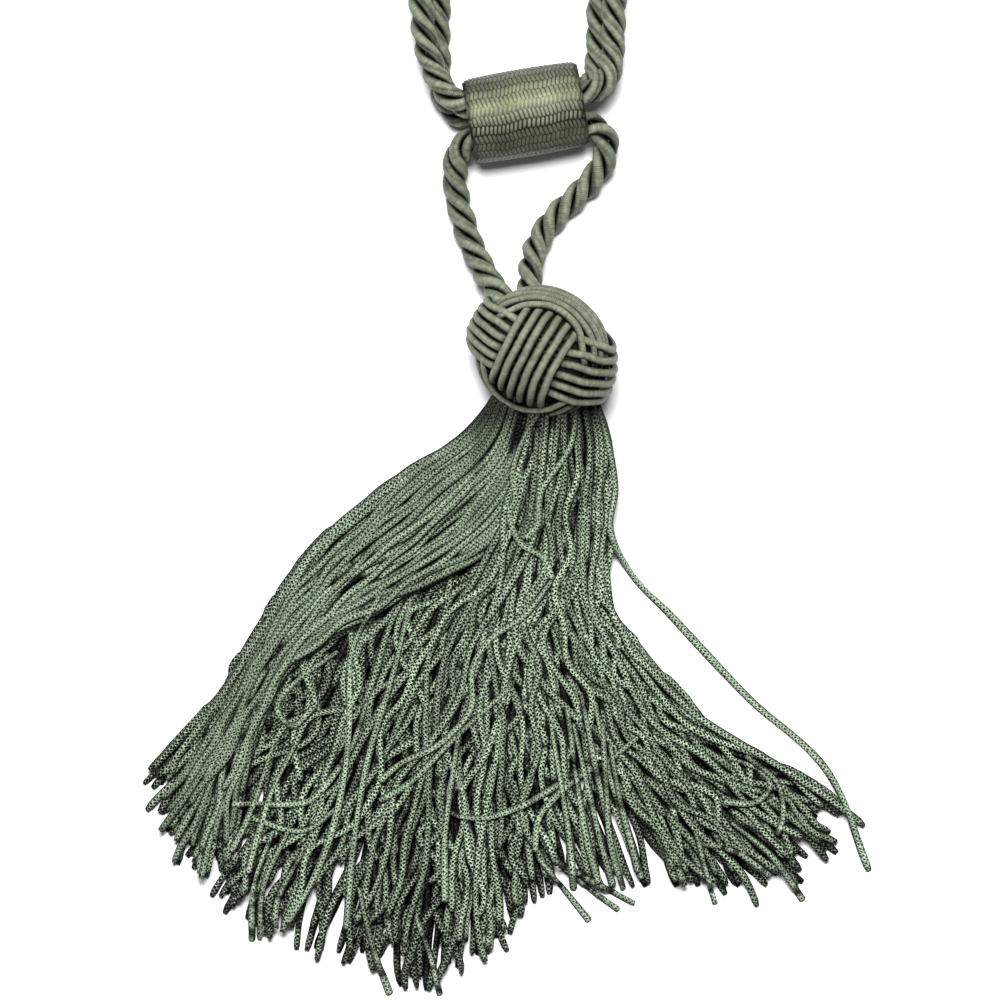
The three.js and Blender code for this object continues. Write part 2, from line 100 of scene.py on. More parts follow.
# The skirt's guides, from its left edge to its right one. Each row is a guide's way from its root
# under the knot to its tip.
FAN = MM * np.array([
    [(-1, 41), (-12, 26), (-28.8, 16), (-55.8, -6.8), (-68.6, -27.5), (-80, -45), (-102.5, -70)],
    [(1, 41.5), (-9, 25.5), (-22, 12), (-46, -13), (-62, -41), (-75, -66), (-92, -93)],
    [(3, 42), (-5, 24), (-14, 6), (-37, -22), (-52, -56), (-62, -83), (-75, -111)],
    [(6, 42), (-1, 22), (-6, 2), (-26, -31), (-36, -68), (-43, -97), (-50, -122)],
    [(9, 42.5), (5, 22), (1, 0), (-11, -35), (-15, -72), (-17, -102), (-20, -130)],
    [(13, 42.5), (12, 22), (9, 0), (2, -34), (3, -64), (6, -88), (10, -104)],
    [(17, 42), (18, 22), (17, 1), (13, -31), (23, -58), (34, -80), (44, -101)],
    [(20, 42), (24, 22), (23.5, 3), (22, -26), (37, -54), (56, -77), (77, -102)],
    [(22.5, 41), (27.4, 22), (25.4, 4), (27, -20), (47, -47.6), (76, -66.6), (101, -81.5)],
])

# The sheaf that sweeps over the skirt's left side.
SHEAF = MM * np.array([
    [(-1, 41), (-11.5, 26.3), (-28.4, 16.4), (-55.4, -6.3), (-68.4, -27.5), (-80, -46), (-100, -73)],
    [(0, 42), (-8, 25.5), (-23, 13), (-49, -9), (-67, -34), (-80, -58), (-97, -84)],
    [(3, 42), (-4, 22), (-18, 8), (-43, -12), (-66, -35), (-79, -61), (-93, -92)],
    [(8, 40), (1, 18), (-10, 2), (-35, -16), (-63, -36), (-77, -64), (-89, -100)],
    [(12, 36), (6, 14), (-2, -2), (-22, -14), (-48, -25), (-66, -42), (-80, -96)],
])

# Bundles of yarn, from the table up: the piece they belong to, their guides, where they root across
# the fan, how many bundles there are and how many yarns each has, how far they wander across the
# fan on the way down, how far they waver in millimetres, how much shorter the shortest yarn is, how
# loosely they are knitted, and how light they are.
BUNDLE_COLUMNS = (
    "piece", "guides", "share", "bundles", "yarns", "drift", "waver", "ragged", "stitch", "tone",
)
BUNDLES = [dict(zip(BUNDLE_COLUMNS, row)) for row in (
    ("skirt_lowest", FAN, (0.0, 1.0), 108, 1, 0.01, 0.8, 0.1, 1.0, 0.9),
    ("skirt_under", FAN, (0.03, 0.97), 15, 4, 0.07, 1.6, 0.16, 1.0, 0.95),
    ("skirt_under", FAN, (0.03, 0.55), 9, 4, 0.09, 2.2, 0.16, 1.0, 1.0),
    ("skirt_middle", FAN, (0.5, 0.96), 12, 4, 0.08, 1.5, 0.18, 0.85, 1.0),
    ("skirt_middle", FAN, (0.08, 0.62), 20, 2, 0.15, 3.0, 0.26, 1.0, 1.05),
    ("skirt_middle", FAN, (0.1, 0.62), 22, 1, 0.16, 3.2, 0.3, 0.9, 1.1),
    ("skirt_sheaf", SHEAF, (0.0, 1.0), 8, 4, 0.1, 0.9, 0.14, 0.88, 0.85),
    ("skirt_sheaf", SHEAF, (0.15, 1.0), 9, 3, 0.08, 1.0, 0.22, 0.8, 0.9),
    ("skirt_upper", FAN, (0.5, 0.95), 12, 4, 0.1, 1.8, 0.24, 0.9, 1.05),
    ("skirt_upper", FAN, (0.5, 0.92), 20, 1, 0.12, 2.8, 0.3, 0.9, 1.1),
)]

# Single yarns that wander over the pile or lie clear of it, each by its way over the table.
WANDERERS = [
    [(24, 38), (29.6, 12), (28, 0.4), (34.4, -12.6), (45.8, -24.5), (67, -47), (88.9, -67.2), (101, -95.7)],
    [(11, 36), (4.6, 26.6), (0.8, 15.4), (1.8, 8.7), (0.1, 5), (3, -3.4), (9.6, -7.8), (12.2, -13.7)],
    [(19, 38), (16.9, 23.5), (8.8, 10.4), (8, 1.4), (4.6, -2.5)],
    [(12, -14), (4, -24), (-5.5, -30.8), (-10.5, -39.2), (-11, -50), (-19.5, -59.6), (-30.4, -65.5),
     (-36.3, -70.5)],
    [(0, -44), (-12, -55), (-18.9, -61.6), (-27.9, -70.6), (-36.3, -75.9)],
    [(-14, -70), (-17, -78.4), (-7.4, -80.4), (4.9, -76.4), (14, -71)],
    [(36, -58), (28.1, -64.1), (18.9, -69.4), (12.5, -75), (8, -80.9), (7, -90)],
    [(-48, -34), (-61.7, -44.5), (-65.1, -50.1), (-60.6, -54.9), (-55, -50)],
    [(-40, -48), (-44.7, -61.6), (-54.7, -74.8), (-57.8, -76.4), (-77.7, -77)],
    [(-46, -76), (-57.8, -84), (-72.1, -80.6)],
    [(62, -64), (70, -67.4), (73, -71.6), (68.7, -76.2), (60, -76)],
    [(66, -63), (75, -71.1), (76.4, -80), (74.9, -84.9)],
    [(-28, -20), (-33, -42), (-40, -66), (-44, -92), (-46, -112)],
    [(-36, -18), (-44, -34), (-45, -56), (-48, -78), (-55, -98), (-62, -110)],
    [(8, -92), (22.5, -109.8)],
    [(14, -94), (24, -102), (30.7, -106.7)],
    [(12, -92), (26, -100), (35.1, -105)],
    [(-66, -84), (-71.5, -100), (-72.4, -115.4)],
    [(-62, -84), (-69, -100), (-70.2, -114.6)],
    [(-58, -90), (-65, -104), (-65.7, -112)],
    [(-26, -108), (-22, -120), (-19.5, -130.6)],
    [(-42, -100), (-38, -118), (-33.6, -130.4)],
    [(62, -82), (74, -92), (82.5, -104)],
    [(52, -84), (55, -96), (57.8, -105)],
    [(54, -88), (63, -90), (73, -97)],
    [(12, -56), (15, -74), (17, -90), (18, -101)],
    [(16, -50), (19, -70), (22, -88), (25, -99)],
    [(20, -46), (24, -66), (28, -84), (31, -97)],
    [(18, -54), (22, -72), (25, -86), (29, -100)],
    [(24, -48), (28, -68), (33, -84), (37, -98)],
    [(26, -54), (27, -72), (28.5, -88), (32, -101)],
    [(28, -60), (31, -76), (34.5, -90), (36, -96)],
    [(-60, -60), (-67, -74), (-70.5, -86), (-73, -96)],
    [(-66, -60), (-70, -72), (-74, -82), (-78, -90)],
    [(-14, -56), (-16, -70), (-18, -86), (-18, -104)],
]

# ---------- settings that a user would change ----------


def length_setting(name, description, default):
    return bpy.props.FloatProperty(
        name=name, description=description, default=default, unit="LENGTH", precision=5
    )


def colour_setting(name, description, default):
    return bpy.props.FloatVectorProperty(
        name=name, description=description, default=default, size=3, min=0, max=1, subtype="COLOR"
    )


class RopeSettings(bpy.types.PropertyGroup):
    diameter: length_setting("Diameter", "Thickness of the twisted rope", 7.5 * MM)
    lay: length_setting("Lay", "Length of one full turn of a strand", 21 * MM)
    wrap: length_setting("Wrap pitch", "Spacing of the thread wrapped round a cord", 0.5 * MM)
    colour: colour_setting("Cord colour", "Thread on the ropes and the knot", (0.134, 0.15, 0.104))


class KnotSettings(bpy.types.PropertyGroup):
    radius: length_setting("Radius", "From the knot's centre to its outermost cords", 19 * MM)
    cords: bpy.props.IntProperty(name="Cords", description="Cords in each band", default=6, min=2, max=9)
    cord_width: length_setting("Cord width", "Width of one cord of a band", 2.4 * MM)


class SliderSettings(bpy.types.PropertyGroup):
    length: length_setting("Length", "Length of the covered tube", 32.5 * MM)
    radius: length_setting("Radius", "Outer radius at the middle of the tube", 12.3 * MM)
    rows: bpy.props.IntProperty(
        name="Rows", description="Rows of stitches round the tube", default=28, min=8, step=2
    )
    colour: colour_setting("Thread colour", "Colour of the plaited thread", (0.124, 0.138, 0.092))


class YarnSettings(bpy.types.PropertyGroup):
    width: length_setting("Width", "Width of a chainette yarn", 2.15 * MM)
    thickness: length_setting("Thickness", "Thickness of a chainette yarn", 1.4 * MM)
    stitch: length_setting("Stitch", "Length of one chain stitch", 1.2 * MM)
    colour: colour_setting("Yarn colour", "Colour of the chainette yarn", (0.137, 0.174, 0.123))


class StageSettings(bpy.types.PropertyGroup):
    floor: colour_setting("Floor colour", "Colour of the table", (0.75, 0.75, 0.75))
    key: bpy.props.FloatProperty(
        name="Key light", description="Power of the key light", default=40, min=0, unit="POWER"
    )
    dome: bpy.props.FloatProperty(
        name="Dome light", description="Strength of the light all round", default=0.16, min=0
    )


# ---------- curves and grids ----------

GROOVE_WIDTH = 0.42  # of a groove along a tube, in radians


def spline(points, count, fine=40):
    """A centripetal Catmull-Rom curve through the points, as equally spaced ones.

    Each span is the cubic from one point to the next whose end slopes come from the points on both
    sides, weighted by the square roots of the gaps between them."""
    p = np.vstack([2 * points[0] - points[1], points, 2 * points[-1] - points[-2]])
    gap = np.sqrt(np.linalg.norm(np.diff(p, axis=0), axis=1))[:, None]
    a, b, c, d = p[:-3], p[1:-2], p[2:-1], p[3:]
    before, here, after = gap[:-2], gap[1:-1], gap[2:]
    start = here * ((b - a) / before - (c - a) / (before + here) + (c - b) / here)
    end = here * ((c - b) / here - (d - b) / (here + after) + (d - c) / after)
    t = np.linspace(0, 1, fine, endpoint=False)[:, None, None]
    curve = b + start * t + (3 * (c - b) - 2 * start - end) * t**2 + (2 * (b - c) + start + end) * t**3
    curve = np.vstack([curve.transpose(1, 0, 2).reshape(-1, p.shape[1]), points[-1:]])
    return even(curve, count)


def arc_length(path):
    """Distance along a path from its first point, for each of its points."""
    return np.concatenate([[0], np.cumsum(np.linalg.norm(np.diff(path, axis=0), axis=1))])


def even(path, count):
    """The same path with equally spaced points."""
    arc = arc_length(path)
    wanted = np.linspace(0, arc[-1], count)
    return np.stack([np.interp(wanted, arc, path[:, k]) for k in range(path.shape[1])], axis=1)


def ease(share):
    """Rises smoothly from 0 to 1 as the share does."""
    share = np.clip(share, 0, 1)
    return share * share * (3 - 2 * share)


def unit(vectors):
    return vectors / np.linalg.norm(vectors, axis=-1, keepdims=True)


def slopes(points, closed=False):
    """Unit tangents of one or many paths, whose points run along the second axis from the last."""
    if closed:
        return unit(np.roll(points, -1, axis=-2) - np.roll(points, 1, axis=-2))
    return unit(np.gradient(points, axis=-2))


def tubes(centres, outward, wide, high, turn=0.0, sides=8, dent=0.0, dent_at=0.0, closed=False):
    """Rings round one or many centre lines: an ellipse with half axes wide and high in the plane
    across the line, turned by an angle, with a groove of relative depth dent at an angle from its
    outward side. Outward is the direction that counts as up. Shape: lines, points, sides, 3."""
    along = slopes(centres, closed)
    side = unit(np.cross(along, outward))
    above = np.cross(side, along)
    angle = np.linspace(0, TURN, sides, endpoint=False)
    apart = (angle - np.pi / 2 - np.asarray(dent_at)[..., None] + np.pi) % TURN - np.pi
    radius = 1 - np.asarray(dent)[..., None] * np.exp(-((apart / GROOVE_WIDTH) ** 2))
    a = radius * np.cos(angle) * np.asarray(wide)[..., None]
    b = radius * np.sin(angle) * np.asarray(high)[..., None]
    turn = np.asarray(turn)[..., None]
    across = a * np.cos(turn) - b * np.sin(turn)
    upward = a * np.sin(turn) + b * np.cos(turn)
    beside = centres[..., None, :] + across[..., None] * side[..., None, :]
    return beside + upward[..., None] * above[..., None, :]


def turns_round(lines, rows, sides):
    """u for the edges of a grid of rings: from 0 to 1 round each ring."""
    return np.broadcast_to(np.arange(sides + 1) / sides, (lines, rows, sides + 1))


def grid_mesh(name, rings, u, v, closed=False, marks=None):
    """One mesh from many grids of rings. Rings run along the second axis and their points along the
    third, and each ring closes on itself. A grid closes into a loop, or its ends close onto a pole
    in the middle of the last ring. u goes round a ring and v along the grid."""
    lines, count, sides = rings.shape[:3]
    index = np.arange(lines * count * sides).reshape(lines, count, sides)
    around = np.roll(index, -1, axis=2)
    spans = count if closed else count - 1
    here, there = index[:, :spans], np.roll(index, -1, axis=1)[:, :spans]
    here_next, there_next = around[:, :spans], np.roll(around, -1, axis=1)[:, :spans]
    quads = np.stack([here, there, there_next, here_next], axis=-1).reshape(-1, 4)
    ring_u, ring_u_next = u[..., :-1], u[..., 1:]
    now, after = slice(spans), slice(1, spans + 1)
    uv = np.stack([
        np.stack([edge[:, at], v[:, at, None] + 0 * edge[:, at]], -1)
        for edge, at in ((ring_u, now), (ring_u, after), (ring_u_next, after), (ring_u_next, now))
    ], axis=-2).reshape(-1, 2)
    points = rings.reshape(-1, 3)
    corners, totals = [quads.ravel()], [np.full(len(quads), 4)]
    level = np.zeros((lines, count, sides))
    marks = {k: (m.reshape(*m.shape[:2], -1) + level).reshape(-1) for k, m in (marks or {}).items()}
    if not closed:
        poles = rings[:, [0, -1]].mean(axis=2).reshape(-1, 3)
        pole = len(points) + np.arange(lines * 2).reshape(lines, 2)
        points = np.vstack([points, poles])
        first = np.stack([pole[:, :1] + 0 * index[:, 0], index[:, 0], around[:, 0]], -1)
        last = np.stack([pole[:, 1:] + 0 * index[:, -1], around[:, -1], index[:, -1]], -1)
        corners.append(np.concatenate([first, last]).ravel())
        totals.append(np.full(2 * lines * sides, 3))
        for end, flip in ((0, 1), (-1, -1)):
            low, high = ring_u[:, end], ring_u_next[:, end]
            height = v[:, end, None] + 0 * low
            fan = [np.stack([(low + high) / 2, height], -1)]
            fan += [np.stack([edge, height], -1) for edge in (low, high)[::flip]]
            uv = np.vstack([uv, np.stack(fan, axis=-2).reshape(-1, 2)])
        marks = {k: np.concatenate([m, np.repeat(m[:: count * sides], 2)]) for k, m in marks.items()}
    return solid_mesh(name, points, np.concatenate(corners), np.concatenate(totals), uv, marks)


def solid_mesh(name, points, corners, totals, uv, marks):
    """Puts whole arrays into a new smooth-shaded mesh object that rides on the body."""
    mesh = bpy.data.meshes.new(name)
    mesh.vertices.add(len(points))
    mesh.vertices.foreach_set("co", points.astype(np.float32).ravel())
    mesh.loops.add(len(corners))
    mesh.loops.foreach_set("vertex_index", corners.astype(np.int32))
    mesh.polygons.add(len(totals))
    starts = np.concatenate([[0], np.cumsum(totals)[:-1]])
    mesh.polygons.foreach_set("loop_start", starts.astype(np.int32))
    mesh.polygons.foreach_set("use_smooth", np.ones(len(totals), bool))
    mesh.update(calc_edges=True)
    mesh.uv_layers.new(name="UVMap").data.foreach_set("uv", uv.astype(np.float32).ravel())
    for mark, values in marks.items():
        mesh.attributes.new(mark, "FLOAT", "POINT").data.foreach_set("value", values.astype(np.float32))
    mesh.validate()
    piece = bpy.data.objects.new(name, mesh)
    bpy.context.scene.collection.objects.link(piece)
    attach(piece, BODY)
    return piece


def finish_piece(piece, slot, material, *nodes):
    """Gives a piece its material and the nodes that it stands for. The slot is not used."""
    piece.data.materials.append(material)
    if nodes:
        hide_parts(*nodes)


# ---------- shader nodes ----------


class Wiring:
    """Short forms for the nodes of one shader tree."""

    def __init__(self, tree):
        self.tree = tree

    def feed(self, socket, value):
        """Links a socket to another one or sets its value. None leaves it as it is."""
        if isinstance(value, bpy.types.NodeSocket):
            self.tree.links.new(value, socket)
        elif value is not None:
            socket.default_value = value

    def add(self, kind, *values, out=0, **options):
        """Adds a node and feeds its inputs in order. Gives one of the sockets it puts out."""
        made = self.tree.nodes.new("ShaderNode" + kind)
        for name, value in options.items():
            setattr(made, name, value)
        for socket, value in zip(made.inputs, values):
            self.feed(socket, value)
        return made.outputs[out]

    def math(self, operation, *values):
        return self.add("Math", *values, operation=operation)

    def plus(self, a, b):
        return self.math("ADD", a, b)

    def minus(self, a, b):
        return self.math("SUBTRACT", a, b)

    def times(self, a, b):
        return self.math("MULTIPLY", a, b)

    def ramp(self, value, low, high, to_low=0.0, to_high=1.0):
        return self.add("MapRange", value, low, high, to_low, to_high, interpolation_type="SMOOTHSTEP")

    def mark(self, name):
        """A value that the mesh carries at each of its points."""
        return self.add("Attribute", attribute_name=name, out=2)

    def uv(self):
        split = self.add("SeparateXYZ", self.add("UVMap", uv_map="UVMap"))
        return split, split.node.outputs[1]

    def noise(self, u, v, u_scale, v_scale, *settings):
        """Noise over the surface, with u and v each stretched by a scale of its own."""
        place = self.add("CombineXYZ", self.times(u, u_scale), self.times(v, v_scale), 0.0)
        return self.add("TexNoise", place, None, *settings)

    def scaled(self, colour, share):
        made = self.add("VectorMath", colour, operation="SCALE")
        self.feed(made.node.inputs["Scale"], share)
        return made

    def mix(self, factor, a, b):
        mixed = self.tree.nodes.new("ShaderNodeMix")
        mixed.data_type = "RGBA"
        for socket, value in ((0, factor), (6, a), (7, b)):
            self.feed(mixed.inputs[socket], value)
        return mixed.outputs[2]

    def group(self, tree, **values):
        """Places a node group and feeds its inputs by name. Gives the placed node."""
        placed = self.tree.nodes.new("ShaderNodeGroup")
        placed.node_tree = tree
        for name, value in values.items():
            self.feed(placed.inputs[name.capitalize()], value)
        return placed


def new_group(name, inputs, outputs):
    """An empty node group with named sockets. Gives its wiring, its input node and its output node."""
    tree = bpy.data.node_groups.new(name, "ShaderNodeTree")
    for direction, sockets in (("INPUT", inputs), ("OUTPUT", outputs)):
        for label, (kind, default) in sockets.items():
            made = tree.interface.new_socket(label, in_out=direction, socket_type="NodeSocket" + kind)
            if default is not None:
                made.default_value = default
    return Wiring(tree), tree.nodes.new("NodeGroupInput"), tree.nodes.new("NodeGroupOutput")


def uneven_dye_group():
    """Colour that wavers from place to place, as dyed thread does: the colour times one plus or
    minus a share that follows two sizes of noise in the piece's own space."""
    w, given, result = new_group(
        "Uneven dye",
        {"Colour": ("Color", None), "Amount": ("Float", 0.2), "Scale": ("Float", 60.0)},
        {"Colour": ("Color", None)},
    )
    place = w.add("TexCoord", out=3)
    broad = w.add("TexNoise", place, None, given.outputs["Scale"], 2.0, 0.5)
    fine = w.add("TexNoise", place, None, w.times(given.outputs["Scale"], 9.0), 2.0, 0.6)
    both = w.plus(w.times(broad, 0.6), w.times(fine, 0.4))
    swing = w.times(w.ramp(both, 0.3, 0.7, -1.0, 1.0), given.outputs["Amount"])
    w.feed(result.inputs["Colour"], w.scaled(given.outputs["Colour"], w.plus(swing, 1.0)))


def wrapped_cord_group():
    """Thread wrapped closely round a cord: one ridge for each whole number of v, leaning a little
    with u, rounded like a thread, and made uneven by noise along the cord."""
    w, given, result = new_group(
        "Wrapped cord",
        {"Lean": ("Float", 0.6), "Slub": ("Float", 0.3)},
        {"Height": ("Float", None), "Slub and sheen": ("Float", None)},
    )
    u, v = w.uv()
    turn = w.plus(v, w.times(u, given.outputs["Lean"]))
    slub = w.noise(u, turn, 1.6, 0.4, 1.3, 3.0, 0.65)
    turn = w.plus(turn, w.times(slub, 0.8))
    ridge = w.math("ABSOLUTE", w.minus(w.math("FRACT", turn), 0.5))
    thread = w.minus(1.0, w.times(w.times(ridge, ridge), 4.0))
    swell = w.ramp(slub, 0.35, 0.65)
    w.feed(result.inputs["Height"], w.plus(thread, w.times(swell, given.outputs["Slub"])))
    # The crown of each turn is painted lighter, as a sheen, and the gap between turns darker, as shade; the
    # slubs add a random lighter change along the cord.
    w.feed(result.inputs["Slub and sheen"], w.plus(w.times(thread, 0.45), w.times(swell, 0.55)))


def chainette_group():
    """Chain stitches: u counts columns of openings round the yarn and v stitches along it. A cosine
    round the yarn and one along it are alike on a net of diagonal threads, and differ most in the
    middle of the staggered openings between them. A slant leans the net, and noise pulls it out of
    line."""
    w, given, result = new_group(
        "Chainette",
        {"Slant": ("Float", 0.4)},
        {"Opening": ("Float", None), "Fibre": ("Float", None)},
    )
    u, v = w.uv()
    pull = w.noise(u, v, 0.8, 0.7, 1.0)
    out = w.times(w.math("PINGPONG", u, 1.0), given.outputs["Slant"])
    across = w.math("COSINE", w.times(w.plus(u, w.times(pull, 0.4)), TURN))
    place = w.minus(v, w.plus(out, w.times(pull, 1.5)))
    along = w.math("COSINE", w.times(place, TURN))
    apart = w.math("ABSOLUTE", w.times(w.minus(across, along), 0.5))
    w.feed(result.inputs["Opening"], apart)
    w.feed(result.inputs["Fibre"], w.noise(u, v, 3.0, 2.0, 1.6, 3.0, 0.7))


def new_material(name, roughness, specular):
    """A material with its constant values on the shader itself. Gives its wiring and its shader."""
    material = bpy.data.materials.new(name)
    material.use_nodes = True
    shader = material.node_tree.nodes["Principled BSDF"]
    shader.inputs["Roughness"].default_value = roughness
    shader.inputs["Specular IOR Level"].default_value = specular
    return material, Wiring(material.node_tree), shader


def finish_thread(w, shader, colour, amount, scale, strength, depth, height):
    """Gives the shader its colour, dyed unevenly and times the tone that the mesh carries, and a
    bump that follows the height. The tone holds painted light and shade besides a random change
    of tone."""
    dye = bpy.data.node_groups["Uneven dye"]
    dyed = w.group(dye, colour=colour, amount=amount, scale=scale).outputs["Colour"]
    w.feed(shader.inputs["Base Color"], w.scaled(dyed, w.mark("tone")))
    w.feed(shader.inputs["Normal"], w.add("Bump", strength, depth, None, height))


def rgba(colour, share=1.0):
    return (*(share * c for c in colour), 1.0)


def cord_material(name, colour):
    """Olive glossy thread round a cord: painted shade between the turns, painted sheen on their crowns."""
    material, w, shader = new_material(name, roughness=0.38, specular=0.12)
    wrap = w.group(bpy.data.node_groups["Wrapped cord"], lean=0.6, slub=0.9)
    thread = w.mix(wrap.outputs["Slub and sheen"], rgba(colour, 0.45), rgba(colour, 1.2))
    finish_thread(w, shader, thread, 0.16, 55.0, 0.7, 0.12 * MM, wrap.outputs["Height"])
    return material


def yarn_material(colour):
    """Grey-green chainette: a net of light threads over openings painted almost black, as the shade
    inside the chain, which are wider the looser the bundle is knitted."""
    material, w, shader = new_material("chainette yarn", roughness=0.45, specular=0.07)
    chain = w.group(bpy.data.node_groups["Chainette"], slant=0.5)
    opening, fibre = chain.outputs["Opening"], chain.outputs["Fibre"]
    tight = w.minus(1.0, w.mark("stitch"))
    loose = w.minus(opening, w.times(tight, 2.0))
    ragged = w.plus(loose, w.times(w.minus(fibre, 0.5), 0.4))
    light = w.mix(w.ramp(fibre, 0.36, 0.64), rgba(colour, 0.45), rgba(colour, 2.15))
    # The openings are painted almost black, as shade.
    stitched = w.mix(w.ramp(ragged, 0.09, 0.3), light, rgba(colour, 0.01))
    height = w.minus(w.times(fibre, 0.25), opening)
    finish_thread(w, shader, stitched, 0.18, 40.0, 0.8, 0.15 * MM, height)
    return material


def slider_material(colour):
    """Plaited glossy thread: bright on the stitches and painted dark in the dips between them as shade,
    with a yellower painted sheen in the band that the marks give."""
    material, w, shader = new_material("plaited thread", roughness=0.38, specular=0.12)
    painted_sheen_colour = np.array(colour) * (1.18, 1.16, 0.98)
    thread = w.mix(w.mark("painted_sheen"), rgba(colour), rgba(painted_sheen_colour))
    # The dips between stitches are painted dark, as shade.
    plaited = w.mix(w.ramp(w.mark("raised"), 0.05, 0.75), rgba(colour, 0.12), thread)
    fibre = w.noise(*w.uv(), 3.0, 22.0, 1.0, 2.0, 0.6)
    finish_thread(w, shader, plaited, 0.35, 110.0, 0.25, 0.08 * MM, fibre)
    return material


def table_material(colour):
    material, _, shader = new_material("table", roughness=0.9, specular=0.3)
    shader.inputs["Base Color"].default_value = rgba(colour)
    return material


# ---------- stage ----------

KEY_PLACE = (-0.03, 0.42, 1.17)
KEY_SIZE = 0.45
FLOOR_REACH = 3.0  # from the middle of the table to its edges


class TIEBACK_OT_stage(bpy.types.Operator):
    """Lay a pale table, light it softly and look straight down at the tieback"""

    bl_idname = "tieback.stage"
    bl_label = "Stage"

    def execute(self, context):
        settings = context.scene.tieback_stage
        camera = bpy.data.cameras.new("camera")
        camera.lens = SENSOR_WIDTH * (CAMERA_HEIGHT - VIEW_LEVEL) / VIEW_WIDTH
        camera.sensor_width = SENSOR_WIDTH
        eye = bpy.data.objects.new("camera", camera)
        eye.location = (*VIEW_CENTRE, CAMERA_HEIGHT)
        context.scene.collection.objects.link(eye)
        context.scene.camera = eye
        self.light(context, "key light", KEY_PLACE, KEY_SIZE, settings.key)
        world = bpy.data.worlds.new("dome")
        world.use_nodes = True
        world.node_tree.nodes["Background"].inputs["Strength"].default_value = settings.dome
        world.node_tree.nodes["Background"].inputs["Color"].default_value = (1, 1, 1, 1)
        context.scene.world = world
        context.scene.view_settings.view_transform = "Standard"
        self.floor(context, settings.floor)
        return {"FINISHED"}

    def light(self, context, name, place, size, power):
        """A square area light that faces the middle of the view."""
        lamp = bpy.data.lights.new(name, "AREA")
        lamp.size = size
        lamp.energy = power
        stand = bpy.data.objects.new(name, lamp)
        away = np.array(place) - np.array([*VIEW_CENTRE, 0])
        stand.rotation_euler = (-np.arctan2(away[1], away[2]), np.arctan2(away[0], away[2]), 0)
        stand.location = place
        context.scene.collection.objects.link(stand)

    def floor(self, context, colour):
        corners = [(x * FLOOR_REACH, y * FLOOR_REACH, 0) for x, y in ((-1, -1), (1, -1), (1, 1), (-1, 1))]
        mesh = bpy.data.meshes.new("floor")
        mesh.from_pydata(corners, [], [(0, 1, 2, 3)])
        table = bpy.data.objects.new("floor", mesh)
        mesh.materials.append(table_material(colour))
        context.scene.collection.objects.link(table)


# ---------- ropes ----------

ROPE_STRANDS = 3
STRAND_SHARE = 0.42  # a strand's radius over the rope's
STRAND_OVAL = 1.08  # a strand's width over its depth
STRAND_SIDES = 16
ROPE_STEP = 0.75 * MM
CREASE_WIDTH = 0.3  # of the crease's shadow, in radians
CREASE_SHADE = 2.2
VALLEY_START = 0.67  # share of the rope's radius below which the grooves between strands are painted dark, as shade
VALLEY_FADE = 0.31


def strand_rings(path, rope, crease, seed):
    """Rings of a rope's strands. Each strand is a tube whose centre circles the rope's centre line
    once in each lay, and has a shallow crease that wanders from side to side."""
    along = slopes(path)
    side = unit(np.cross(along, UP))
    above = np.cross(side, along)
    arc = arc_length(path)
    radius = STRAND_SHARE * rope.diameter / 2
    orbit = rope.diameter / 2 - radius
    strand = np.arange(ROPE_STRANDS)[:, None]
    turn = TURN * (arc / rope.lay + strand / ROPE_STRANDS)
    out = np.cos(turn)[..., None] * side + np.sin(turn)[..., None] * above
    random = np.random.default_rng(seed)
    phase = random.uniform(0, TURN, (3, ROPE_STRANDS, 1))
    swell = 1 + 0.035 * np.sin(arc / (5.3 * MM) + phase[0]) + 0.02 * np.sin(arc / (2.1 * MM) + phase[1])
    crease_at = -0.5 + 0.35 * np.sin(arc / (14 * MM) + phase[2])
    centres = path + orbit * out
    crease = crease + 0 * swell
    rings = tubes(
        centres, out, radius * STRAND_OVAL * swell, radius * swell, sides=STRAND_SIDES,
        dent=crease, dent_at=crease_at,
    )
    lengths = np.stack([arc_length(c) for c in centres])
    # The strands' tone: a small random change from strand to strand and along the rope, times shade painted
    # into the grooves between strands and along each crease.
    tone = 1 + 0.06 * np.sin(strand * 2.4 + seed) + 0.05 * np.sin(arc / (23 * MM) + phase[0])
    apart = np.linalg.norm(rings - path[:, None], axis=-1) / (rope.diameter / 2)
    angle = np.linspace(0, TURN, STRAND_SIDES, endpoint=False) - np.pi / 2 - crease_at[..., None]
    off_crease = ((angle + np.pi) % TURN - np.pi) / CREASE_WIDTH
    painted_crease_shade = 1 - CREASE_SHADE * crease[..., None] * np.exp(-(off_crease**2))
    light = 0.01 + 0.99 * ease((apart - VALLEY_START) / VALLEY_FADE)
    return rings, lengths, tone[..., None] * painted_crease_shade * light


def make_rope(name, route, rope, crease, seed, material):
    count = int(round(arc_length(spline(route, 2000))[-1] / ROPE_STEP))
    path = spline(route, count)
    rings, lengths, tone = strand_rings(path, rope, crease, seed)
    u = turns_round(*rings.shape[:2], STRAND_SIDES)
    piece = grid_mesh(name, rings, u, lengths / rope.wrap, marks={"tone": tone})
    finish_piece(piece, "rope", material, name.removesuffix("_rope"))
    return piece, path


class TIEBACK_OT_ropes(bpy.types.Operator):
    """Twist the tassel cord and the embrace rope from three wrapped strands each"""

    bl_idname = "tieback.ropes"
    bl_label = "Ropes"

    def execute(self, context):
        rope = context.scene.tieback_rope
        material = cord_material("wrapped rope", rope.colour)
        rows = (
            ("tassel_cord_rope", TASSEL_CORD_ROUTE, 0.17, 3, "limp"),
            ("embrace_cord_rope", EMBRACE_ROUTE, 0.28, 7, "medium"),
        )
        for name, route, crease, seed, stiffness in rows:
            piece, path = make_rope(name, route, rope, crease, seed, material)
        return {"FINISHED"}


# ---------- knot ----------

